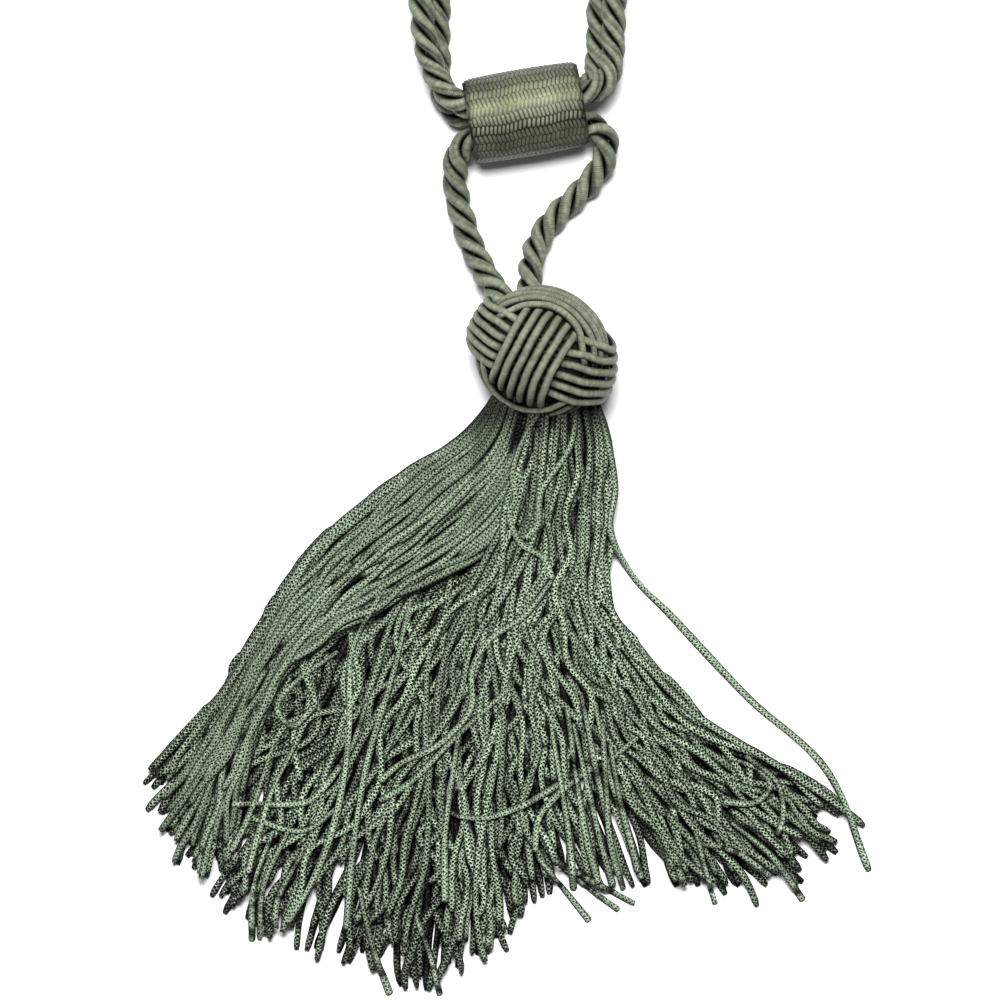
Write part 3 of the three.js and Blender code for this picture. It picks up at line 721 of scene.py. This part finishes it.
# Each band's axis, where it lies high and where it lies low on the ball, the share that it widens by
# between two crossings, its shift along its axis, and the lean that moves it and the fan that widens
# it on the side where its first high place is.
BAND_COLUMNS = ("across", "high", "low", "spread", "shift", "lean", "fan")
KNOT_BANDS = [dict(zip(BAND_COLUMNS, row)) for row in (
    ((1, 0, 0), (0, 0, 1), (0, 1, 0), 0.05, 0.0, 0.0, 0.0),
    ((0, 1, 0), (1, 0, 0), (0, 0, 1), 0.25, 0.0, 3.2 * MM, 0.22),
    ((0, 0, 1), (0, 1, 0), (1, 0, 0), 0.25, 2.2 * MM, 0.0, 0.0),
)]
KNOT_DIP = 2.8 * MM  # how far a band dips where it passes under another
KNOT_STEPS = 150
KNOT_CORD_SIDES = 12
KNOT_SEED = 11
CORD_HALF = 0.485  # half a cord's width over the spacing of the cords
CORD_FLATNESS = 0.96
UNDER_START = 0.68  # how far a cord has dipped under another band when painted shade starts to darken it
UNDER_FADE = 0.18
UNDER_DARK = 0.97
KNOT_CORE = 15.2 * MM
CORE_RINGS = 24
CORE_SIDES = 36
CORE_POLE = 0.08  # from the core's axis to its first ring, in radians
# the core's tone: almost black, painted shade deep between the bands
CORE_SHADE = 0.05


def ball_turn():
    """Rotation that brings the ball's +Z to the knot's front, after the roll about +Z."""
    front = unit(KNOT_FRONT)
    axis = np.array([-front[1], front[0], 0])
    sine, cosine = np.linalg.norm(axis), front[2]
    x, y, z = axis / sine
    skew = np.array([[0, -z, y], [z, 0, -x], [-y, x, 0]])
    lean = np.eye(3) + sine * skew + (1 - cosine) * skew @ skew
    c, s = np.cos(KNOT_ROLL), np.sin(KNOT_ROLL)
    return lean @ np.array([[c, -s, 0], [s, c, 0], [0, 0, 1]])


def band_lines(band, knot, seed):
    """Centre lines of a band's cords: circles round the ball, side by side, that lie high where the
    band crosses over and low a quarter turn on, and spread apart in between."""
    side, up, along = (np.array(band[k], float) for k in ("across", "high", "low"))
    if np.dot(np.cross(side, up), along) < 0:
        along = -along
    random = np.random.default_rng(seed)
    angle = np.linspace(0, TURN, KNOT_STEPS, endpoint=False)
    place = (np.arange(knot.cords) - (knot.cords - 1) / 2)[:, None]
    waver = sum(
        random.uniform(0.01, 0.035) * np.sin(k * angle + random.uniform(0, TURN, (knot.cords, 1)))
        for k in (2, 4, 7, 12)
    )
    near = (1 + np.cos(angle)) / 2
    widened = 1 + band["spread"] * np.sin(2 * angle) ** 2 + band["fan"] * near
    offset = knot.cord_width * (place + waver) * widened
    offset = offset + band["shift"] + band["lean"] * near
    crest = knot.radius - knot.cord_width / 2 - KNOT_DIP / 2 * (1 - np.cos(2 * angle))
    crest = crest + 0.15 * MM * np.sin(4 * angle + random.uniform(0, TURN, (knot.cords, 1)))
    reach = np.sqrt(crest**2 - offset**2)
    out = np.cos(angle)[:, None] * up + np.sin(angle)[:, None] * along
    return offset[..., None] * side + reach[..., None] * out


class TIEBACK_OT_knot(bpy.types.Operator):
    """Work the knot from three interlaced bands of wrapped cords round a core painted dark as shade"""

    bl_idname = "tieback.knot"
    bl_label = "Knot"

    def execute(self, context):
        knot, rope = context.scene.tieback_knot, context.scene.tieback_rope
        lines = np.concatenate([
            band_lines(band, knot, KNOT_SEED + k) for k, band in enumerate(KNOT_BANDS)
        ])
        lines = (lines * KNOT_STRETCH) @ ball_turn().T + KNOT_CENTRE
        half = knot.cord_width * CORD_HALF + np.zeros(lines.shape[:2])
        rings = tubes(
            lines, unit(lines - KNOT_CENTRE), half, half * CORD_FLATNESS,
            sides=KNOT_CORD_SIDES, closed=True,
        )
        rings[..., 2] = np.maximum(rings[..., 2], 0)
        lengths = np.linalg.norm(np.roll(lines, -1, axis=1) - lines, axis=-1)
        v = np.concatenate([np.zeros((len(lines), 1)), np.cumsum(lengths, axis=1)], axis=1) / rope.wrap
        v = v / v[:, -1:] * np.round(v[:, -1:])
        u = turns_round(len(lines), KNOT_STEPS + 1, KNOT_CORD_SIDES)
        # Each cord is painted darker on its flanks and where it dips under another band, as shade, times a
        # small random change from cord to cord.
        outward = np.sin(np.linspace(0, TURN, KNOT_CORD_SIDES, endpoint=False))
        under = np.sin(TURN * np.arange(KNOT_STEPS) / KNOT_STEPS) ** 2
        by_cord = 1 + 0.07 * np.sin(1.9 * np.arange(len(lines)))
        flank_shade = 0.01 + 0.99 * ease(outward * 0.95 + 0.03)
        crossing_shade = 1 - UNDER_DARK * ease((under - UNDER_START) / UNDER_FADE)
        tone = by_cord[:, None, None] * flank_shade * crossing_shade[:, None]
        cords = grid_mesh("knot_cords", rings, u, v, closed=True, marks={"tone": tone})
        material = cord_material("wrapped knot cord", rope.colour)
        finish_piece(cords, "knot_cord", material, "knot")
        self.core(material)
        return {"FINISHED"}

    def core(self, material):
        """A ball under the cords, on a grid of latitude and longitude, painted almost black as the shade
        deep between the bands.
        """
        tall = np.linspace(CORE_POLE, np.pi - CORE_POLE, CORE_RINGS)[None, :, None]
        around = np.linspace(0, TURN, CORE_SIDES, endpoint=False)[None, None, :]
        ball = np.stack(np.broadcast_arrays(
            np.sin(tall) * np.cos(around), np.sin(tall) * np.sin(around), np.cos(tall)
        ), axis=-1)[:, ::-1]
        ball = (KNOT_CORE * ball * KNOT_STRETCH) @ ball_turn().T + KNOT_CENTRE
        core = grid_mesh(
            "knot_core", ball, turns_round(1, CORE_RINGS, CORE_SIDES), np.linspace(0, 1, CORE_RINGS)[None],
            marks={"tone": np.full(ball.shape[:3], CORE_SHADE)},
        )
        finish_piece(core, "knot_cord", material, "knot")


# ---------- slider ----------

SLIDER_END_RADIUS = 11.8 * MM
SLIDER_BORE = 10.5 * MM
SLIDER_LIP = 0.75 * MM
SLIDER_SHOULDER = 0.5 * MM  # how much lower the outside lies at its ends
STITCH_LENGTH = 1.2 * MM
STITCH_RELIEF = 0.28 * MM
STITCH_SLANT = 0.45
STITCH_SAMPLES = 8

# Light and shade painted round the tube: degrees from the side that faces +Y, over the top, and the
# share of light that the thread there gives back. The rows on top are painted bright as if lit, the
# rows below painted dark as shade, and some rows are duller than their neighbours.
SLIDER_LIGHT_AND_SHADE = np.array([
    (0, 0.42), (18, 0.42), (32, 0.58), (42, 0.46), (50, 0.6), (60, 0.86), (70, 0.8), (79, 1.12),
    (88, 0.86), (98, 0.74), (108, 0.8), (117, 0.42), (130, 0.4), (146, 0.5), (165, 0.42), (180, 0.36),
    (270, 0.36), (360, 0.42),
])


def slider_profile(slider):
    """Outline of the tube's wall, once round: the barrelled outside, a rounded rim, the bore and the
    other rim. Gives the place along the tube, the radius, and how much the stitches show there."""
    half = slider.length / 2
    samples = int(slider.length / STITCH_LENGTH) * STITCH_SAMPLES
    outer = np.linspace(-half + SLIDER_LIP, half - SLIDER_LIP, samples)
    barrel = slider.radius - (slider.radius - SLIDER_END_RADIUS) * (outer / half) ** 2
    barrel = barrel - SLIDER_SHOULDER * np.clip(np.abs(outer) / half - 0.82, 0, 1) ** 2 / 0.18**2
    middle = (SLIDER_END_RADIUS - SLIDER_SHOULDER + SLIDER_BORE) / 2
    thick = (SLIDER_END_RADIUS - SLIDER_SHOULDER - SLIDER_BORE) / 2
    bend = np.linspace(0, np.pi, 12)[1:-1]
    rim_along = half - SLIDER_LIP + SLIDER_LIP * np.sin(bend)
    rim_radius = middle + thick * np.cos(bend)
    bore = np.linspace(half - SLIDER_LIP, -half + SLIDER_LIP, 14)
    along = np.concatenate([outer, rim_along, bore, -rim_along[::-1]])
    radius = np.concatenate([barrel, rim_radius, SLIDER_BORE + 0 * bore, rim_radius[::-1]])
    rim = 0.6 * np.cos(bend / 2) ** 2
    shown = np.concatenate([1 + 0 * outer, rim, 0 * bore, rim[::-1]])
    return along, radius, shown


def glow(angle, degrees, width):
    """A bell round an angle: e to the minus square of the distance from it over the width."""
    return np.exp(-(((angle - np.radians(degrees)) / width) ** 2))


class TIEBACK_OT_slider(bpy.types.Operator):
    """Cover the slider with rows of plaited stitches"""

    bl_idname = "tieback.slider"
    bl_label = "Slider"

    def execute(self, context):
        slider = context.scene.tieback_slider
        along, radius, shown = slider_profile(slider)
        angle = np.linspace(0, TURN, slider.rows * STITCH_SAMPLES, endpoint=False)
        wave = 0.022 * np.sin(along / (5.5 * MM)) + 0.02 * np.sin(along / (1.9 * MM) + 2)
        raised = self.stitches(slider, along[:, None], angle + wave[:, None]) * shown[:, None]
        r = radius[:, None] + STITCH_RELIEF * (raised - 1) * shown[:, None]
        axis = np.array([np.cos(SLIDER_TILT), np.sin(SLIDER_TILT), 0])
        across = np.array([-np.sin(SLIDER_TILT), np.cos(SLIDER_TILT), 0])
        rings = (
            along[:, None, None] * axis
            + (r * np.cos(angle))[..., None] * across
            + (r * np.sin(angle))[..., None] * UP
            + SLIDER_CENTRE
        )[None]
        rings[..., 2] = np.maximum(rings[..., 2], 0)
        # A yellow highlight painted in a band near the top of the tube.
        painted_sheen = glow(angle, 79, 0.16) + 0.4 * glow(angle, 60, 0.1)
        # A band just past the top, on the side away from +Y, where the painted dark dips are wider, as
        # shade.
        deep = glow(angle, 109, 0.14)
        # light and shade painted round the tube
        tone = np.interp(np.degrees(angle), SLIDER_LIGHT_AND_SHADE[:, 0], SLIDER_LIGHT_AND_SHADE[:, 1])
        # Painted shade: darker towards both ends of the tube, and dark in the bore.
        edge = 1 - 0.55 * ease((np.abs(along) - slider.length / 2 + 2.4 * MM) / (2 * MM))
        lit = edge * (0.1 + 0.9 * (shown > 0))
        marks = {
            "raised": (raised ** (1 + 1.6 * deep - 0.4 * painted_sheen))[None],
            "painted_sheen": (shown[:, None] * painted_sheen)[None],
            "tone": (lit[:, None] * tone)[None],
        }
        # the tube closes both ways: its profile runs along the grid, and rings go round it
        u = slider.rows * turns_round(1, len(along) + 1, len(angle))
        v = np.append(along, along[0])[None] / STITCH_LENGTH
        piece = grid_mesh("slider_cover", rings, u, v, closed=True, marks=marks)
        finish_piece(piece, "slider_cover", slider_material(slider.colour), "slider")
        return {"FINISHED"}

    def stitches(self, slider, along, angle):
        """Height of the plait, 0 to 1: rows run along the tube, and in each row rounded stitches
        lean one way, in the next row the other."""
        row = angle / TURN * slider.rows
        lean = np.where(np.floor(row) % 2 == 0, 1.0, -1.0)
        across = row - np.floor(row)
        place = along / STITCH_LENGTH + lean * STITCH_SLANT * (across - 0.5) + 0.25 * lean
        place = place + 0.16 * np.sin(5.1 * np.floor(row) + along / (2.6 * MM))
        stitch = place - np.floor(place)
        return (1 - np.abs(2 * stitch - 1) ** 2.2) * (1 - 0.7 * np.abs(2 * across - 1) ** 4)


# ---------- skirt ----------

EDGE_SLACK = 0.2 * MM  # how far a yarn may stray past the outermost guides
GUIDE_POINTS = 160
YARN_SPACING = 2.1 * MM  # between the yarns of a bundle
YARN_SPLAY = 2.2 * MM  # how far yarns part from their bundle, or bend aside, at their tips
BUNDLE_TONES = (0.78, 1.22)
YARN_TONES = (0.82, 1.18)
TIP_SHARE = 0.7  # a yarn's thickness at its ends over that elsewhere
YARN_RINGS = 84
YARN_COLUMNS = 4
YARN_SIDES = 8
LAY_STEPS = 360  # points at which a yarn is laid on the pile

NECK_CENTRE = MM * np.array([9.4, 36.6, 13.0])
NECK_STRAIGHT = 8.4 * MM
NECK_ROUND = 8.6 * MM
NECK_HALF_HEIGHT = 10.5 * MM
NECK_HALF_WIDTH = 20.5 * MM
KNOT_EDGE = 33 * MM  # where the skirt comes out from under the knot
PILE_TOP = 9.5 * MM  # height of the pile where the skirt lies flat
KNOT_SHADOW = 11 * MM  # length of the shade that the knot throws on the skirt
SHADE_START = 0.2 * MM  # depth under the crest at which a yarn starts to darken
SHADE_DEPTH = 0.6 * MM
EDGE_LIGHT = 2.5 * MM  # the crest counts as no higher than this over the lowest place near by

# The pile settles away from the neck: share of the neck's height and of its lift off the table that
# is left, by distance from the root line.
SETTLING = np.array([(0, 1, 1), (12, 0.8, 0.4), (28, 0.42, 0), (50, 0.12, 0), (70, 0, 0)])


def neck_fields(xy):
    """Lowest and highest place of the pile at points of the table: the neck's ellipse near the
    roots, blending into an even pile."""
    beside = np.maximum(np.abs(xy[..., 0] - NECK_CENTRE[0]) - NECK_STRAIGHT, 0)
    away = (np.hypot(beside, xy[..., 1] - NECK_CENTRE[1]) - NECK_ROUND) / MM
    height = np.interp(away, SETTLING[:, 0], SETTLING[:, 1])
    lift = np.interp(away, SETTLING[:, 0], SETTLING[:, 2])
    across = np.clip((xy[..., 0] - NECK_CENTRE[0]) / NECK_HALF_WIDTH, -0.95, 0.95)
    bulge = NECK_HALF_HEIGHT * np.sqrt(1 - across**2)
    low = (NECK_CENTRE[2] - bulge) * lift
    high = PILE_TOP * (1 - height) + (NECK_CENTRE[2] + bulge) * height
    return low, high


class Pile:
    """Height map of what already lies on the table, in square cells. Each yarn is laid on it."""

    CELL = 0.5 * MM
    LOW = MM * np.array([-125.0, -150.0])
    SIZE = (500, 410)

    def __init__(self, yarn):
        x = self.LOW[0] + self.CELL * (np.arange(self.SIZE[0]) + 0.5)
        y = self.LOW[1] + self.CELL * (np.arange(self.SIZE[1]) + 0.5)
        self.places = np.stack(np.meshgrid(x, y, indexing="ij"), axis=-1)
        self.floor, self.limit = neck_fields(self.places)
        self.top = self.floor.copy()
        self.half_width, self.half_height = yarn.width / 2, yarn.thickness / 2

    def cells(self, xy):
        at = ((xy - self.LOW) / self.CELL).astype(int)
        return np.clip(at[..., 0], 0, self.SIZE[0] - 1), np.clip(at[..., 1], 0, self.SIZE[1] - 1)

    def lay(self, path, side):
        """Height of a yarn's middle along its path: it touches the pile across its whole width, and
        being springy it bridges short dips. The yarn then becomes part of the pile."""
        across = np.linspace(-0.85, 0.85, 7)
        spots = path[:, None] + (across * self.half_width)[None, :, None] * side[:, None]
        crown = self.half_height * np.sqrt(1 - across**2)
        at = self.cells(spots)
        under = self.top[at]
        rest = 0.75 * (under + crown).max(axis=1) + 0.25 * (under.mean(axis=1) + self.half_height)
        height = bridge(rest)
        np.maximum.at(self.top, at, height[:, None] + crown)
        return height

    def press(self):
        """The pile is pressed down to its limit: the share of its height that each place keeps."""
        tall = blur(spread_out(self.top - self.floor, 8), 5)
        room = self.limit - self.floor
        self.kept = room / np.maximum(tall, room)
        # the crest from which the shade painted on the yarns is measured
        self.crest = np.minimum(spread_out(self.top, 2), EDGE_LIGHT - spread_out(-self.top, 5))

    def shade(self, rings, centres, laid):
        """Share of light that reaches each point, from how deep it lies under the highest yarns beside
        it and how far down its own yarn's side. Near the pile's edge light comes in from the side."""
        rise = rings[..., 2] - centres[..., None, 2]
        height = laid[..., None] + rise
        depth = self.crest[self.cells(rings[..., :2])] - height
        under_knot = 0.12 + 0.88 * ease((KNOT_EDGE - rings[..., 1]) / KNOT_SHADOW)
        side = 0.03 + 1.05 * ease((rise / self.half_height - 0.25) / 0.72)
        sunk = np.maximum(depth - SHADE_START, 0) / SHADE_DEPTH
        return under_knot * side * (0.01 + 0.99 * np.exp(-(sunk**2)))

    def settle(self, path, height):
        at = self.cells(path)
        return self.floor[at] + (height - self.floor[at]) * self.kept[at]


def windows(field, span, axis=0):
    """For each place, the values within a span of it along one axis, as a new last axis."""
    edges = [(span, span) if k == axis else (0, 0) for k in range(field.ndim)]
    padded = np.pad(field, edges, mode="edge")
    return np.lib.stride_tricks.sliding_window_view(padded, 2 * span + 1, axis=axis)


def bell(span, reach):
    """Weights that fall off to each side as e to the minus half square of the distance over reach."""
    weights = np.exp(-0.5 * (np.arange(-span, span + 1) / reach) ** 2)
    return weights / weights.sum()


def bridge(values):
    """The running highest value, smoothed: a yarn that can't follow sharp dips."""
    raised = 0.6 * windows(values, 5).max(axis=-1) + 0.4 * values
    return windows(raised, 21) @ bell(21, 7)


def spread_out(field, reach):
    """Each place takes the highest value within reach along both axes."""
    for axis in (0, 1):
        field = windows(field, reach, axis).max(axis=-1)
    return field


def blur(field, reach):
    """A field smoothed along both of its axes."""
    span = int(2.5 * reach)
    for axis in (0, 1):
        field = windows(field, span, axis) @ bell(span, reach)
    return field


def fan_path(curves, share, reach):
    """A way down the fan: at each point along it, a Catmull-Rom blend of the four nearest guides,
    for a share across the fan that may change on the way, out to a reach of the guides' length."""
    t = np.linspace(0, reach, len(share)) * (curves.shape[1] - 1)
    step = np.clip(t.astype(int), 0, curves.shape[1] - 2)
    part = (t - step)[:, None]
    last = len(curves) - 1
    position = np.clip(share, 0, 1) * last
    row = np.clip(position.astype(int), 0, last - 1)
    f = (position - row)[:, None]

    def along(k):
        k = np.clip(k, 0, last)
        return curves[k, step] * (1 - part) + curves[k, step + 1] * part

    a, b, c, d = along(row - 1), along(row), along(row + 1), along(row + 2)
    return b + 0.5 * f * (c - a + f * (2 * a - 5 * b + 4 * c - d + f * (3 * (b - c) + d - a)))


def bundle_paths(layer, random):
    """Ways of the yarns in a layer's bundles. A bundle's yarns start together, keep side by side
    with a little waver, and part towards their tips."""
    curves = np.stack([spline(guide, GUIDE_POINTS) for guide in layer["guides"]])
    width = np.linalg.norm(curves[0] - curves[-1], axis=1)
    t = np.linspace(0, 1, LAY_STEPS)
    low, high = layer["share"]
    starts = np.linspace(low, high, layer["bundles"]) + random.uniform(-0.02, 0.02, layer["bundles"])
    paths, tones = [], []
    for start in random.permutation(starts):
        drift = random.normal(0, layer["drift"])
        base = np.clip(start + drift * ease(t), 0.0, 1.0)
        tone = layer["tone"] * random.uniform(*BUNDLE_TONES)
        bundle_waver = waves(random, t, layer["waver"] * MM)
        for k in random.permutation(layer["yarns"]):
            reach = 1 - layer["ragged"] * random.beta(1.2, 2.2)
            path = fan_path(curves, base, reach)
            side = sideways(path)
            place = (k - (layer["yarns"] - 1) / 2) * YARN_SPACING * (0.25 + 0.8 * np.clip(t * 2.2, 0, 1))
            splay = random.normal(0, YARN_SPLAY) * t**2
            own = waves(random, t, 0.55 * layer["waver"] * MM, 2.2)
            offset = place + splay + bundle_waver + own + curl(random, t)
            wide = np.interp(t * reach, np.linspace(0, 1, len(width)), width)
            offset = np.clip(offset, -EDGE_SLACK - (1 - base) * wide, EDGE_SLACK + base * wide)
            paths.append(path + offset[:, None] * side)
            tones.append(tone * random.uniform(*YARN_TONES))
    return paths, tones


def waves(random, t, size, pace=1.0):
    """A sideways waver that grows from the root: three sines with chance lengths and phases."""
    grow = np.clip(2.2 * t - 0.1, 0, 1)
    return grow * size * sum(
        random.normal(0, 0.6) * np.sin(TURN * (pace * random.uniform(0.6, 4.2) * t + random.uniform()))
        for _ in range(3)
    )


def curl(random, t):
    """A bend of the last stretch to one side."""
    return random.normal(0, YARN_SPLAY) * np.clip((t - 0.84) / 0.16, 0, 1) ** 2


def sideways(path):
    along = slopes(path)
    return np.stack([along[:, 1], -along[:, 0]], axis=-1)


class TIEBACK_OT_skirt(bpy.types.Operator):
    """Lay the skirt's chainette yarns on the table one by one, from the lowest up"""

    bl_idname = "tieback.skirt"
    bl_label = "Skirt"

    def execute(self, context):
        yarn = context.scene.tieback_yarn
        random = np.random.default_rng(20)
        laid = {}
        pile = Pile(yarn)
        for layer in BUNDLES:
            paths, tones = bundle_paths(layer, random)
            for path, tone in zip(paths, tones):
                self.add(laid, layer["piece"], pile, even(path, LAY_STEPS), tone, layer["stitch"])
        for way in WANDERERS:
            path = spline(MM * np.array(way, float), LAY_STEPS)
            self.add(laid, "skirt_loose", pile, path, random.uniform(1.0, 1.2), 0.8)
        pile.press()
        material = yarn_material(yarn.colour)
        for name, yarns in laid.items():
            self.build(name, yarns, pile, yarn, random, material)
        return {"FINISHED"}

    def add(self, laid, name, pile, path, tone, stitch):
        height = pile.lay(path, sideways(path))
        laid.setdefault(name, []).append((path, height, tone, stitch))

    def build(self, name, yarns, pile, yarn, random, material):
        """All the yarns of one piece as tubes with a flattened section that slowly turns."""
        pick = np.linspace(0, LAY_STEPS - 1, YARN_RINGS).round().astype(int)
        centres = np.stack([
            np.column_stack([path, pile.settle(path, height)])[pick] for path, height, _, _ in yarns
        ])
        lines = len(yarns)
        arc = np.stack([arc_length(c) for c in centres])
        phase = random.uniform(0, TURN, (4, lines, 1))
        root = np.clip(arc / (35 * MM), 0, 1)
        swell = (0.72 + 0.28 * root) * (1 + 0.06 * np.sin(arc / (6 * MM) + phase[0]))
        turn = 0.5 * np.sin(arc / (17 * MM) + phase[1]) + 0.35 * np.sin(arc / (7 * MM) + phase[2])
        swell[:, [0, -1]] *= TIP_SHARE
        wide, high = swell * yarn.width / 2, swell * yarn.thickness / 2
        rings = tubes(centres, UP, wide, high, turn=turn, sides=YARN_SIDES)
        rings[..., 2] = np.maximum(rings[..., 2], 0)
        shift = random.normal(0, 0.16, (lines, 1, 1))
        u = shift + turns_round(lines, YARN_RINGS, YARN_SIDES) * YARN_COLUMNS
        v = arc / yarn.stitch + phase[3]
        laid = np.stack([height for _, height, _, _ in yarns])[:, pick]
        level = np.ones((1, YARN_RINGS))
        # The tone is the bundle's and yarn's random tone times the shade painted from the pile: under the
        # knot, on each yarn's sides and under higher yarns.
        marks = {
            "tone": np.array([y[2] for y in yarns])[:, None, None] * pile.shade(rings, centres, laid),
            "stitch": np.array([y[3] for y in yarns])[:, None] * level,
        }
        piece = grid_mesh(name, rings, u, v, marks=marks)
        finish_piece(piece, "yarn", material, "skirt")


# ---------- panel, registration and run ----------


class TIEBACK_PT_panel(bpy.types.Panel):
    """Lists the steps that build the tieback and their settings"""

    bl_idname = "TIEBACK_PT_panel"
    bl_label = "Curtain tieback"
    bl_space_type = "VIEW_3D"
    bl_region_type = "UI"
    bl_category = "Tieback"

    def draw(self, context):
        for operator, settings in STEPS:
            box = self.layout.box()
            box.operator(operator.bl_idname)
            for name in settings.__annotations__:
                box.prop(getattr(context.scene, setting_name(settings)), name)


STEPS = (
    (TIEBACK_OT_stage, StageSettings),
    (TIEBACK_OT_ropes, RopeSettings),
    (TIEBACK_OT_knot, KnotSettings),
    (TIEBACK_OT_slider, SliderSettings),
    (TIEBACK_OT_skirt, YarnSettings),
)


def setting_name(settings):
    return "tieback_" + settings.__name__.removesuffix("Settings").lower()


def register():
    for operator, settings in STEPS:
        bpy.utils.register_class(settings)
        setattr(bpy.types.Scene, setting_name(settings), bpy.props.PointerProperty(type=settings))
        bpy.utils.register_class(operator)
    bpy.utils.register_class(TIEBACK_PT_panel)


def unregister():
    bpy.utils.unregister_class(TIEBACK_PT_panel)
    for operator, settings in reversed(STEPS):
        bpy.utils.unregister_class(operator)
        delattr(bpy.types.Scene, setting_name(settings))
        bpy.utils.unregister_class(settings)


def main():
    register()
    uneven_dye_group()
    wrapped_cord_group()
    chainette_group()
    bpy.ops.tieback.stage()
    bpy.ops.tieback.ropes()
    bpy.ops.tieback.knot()
    bpy.ops.tieback.slider()
    bpy.ops.tieback.skirt()
    bpy.context.view_layer.update()


if __name__ == "__main__":
    main()
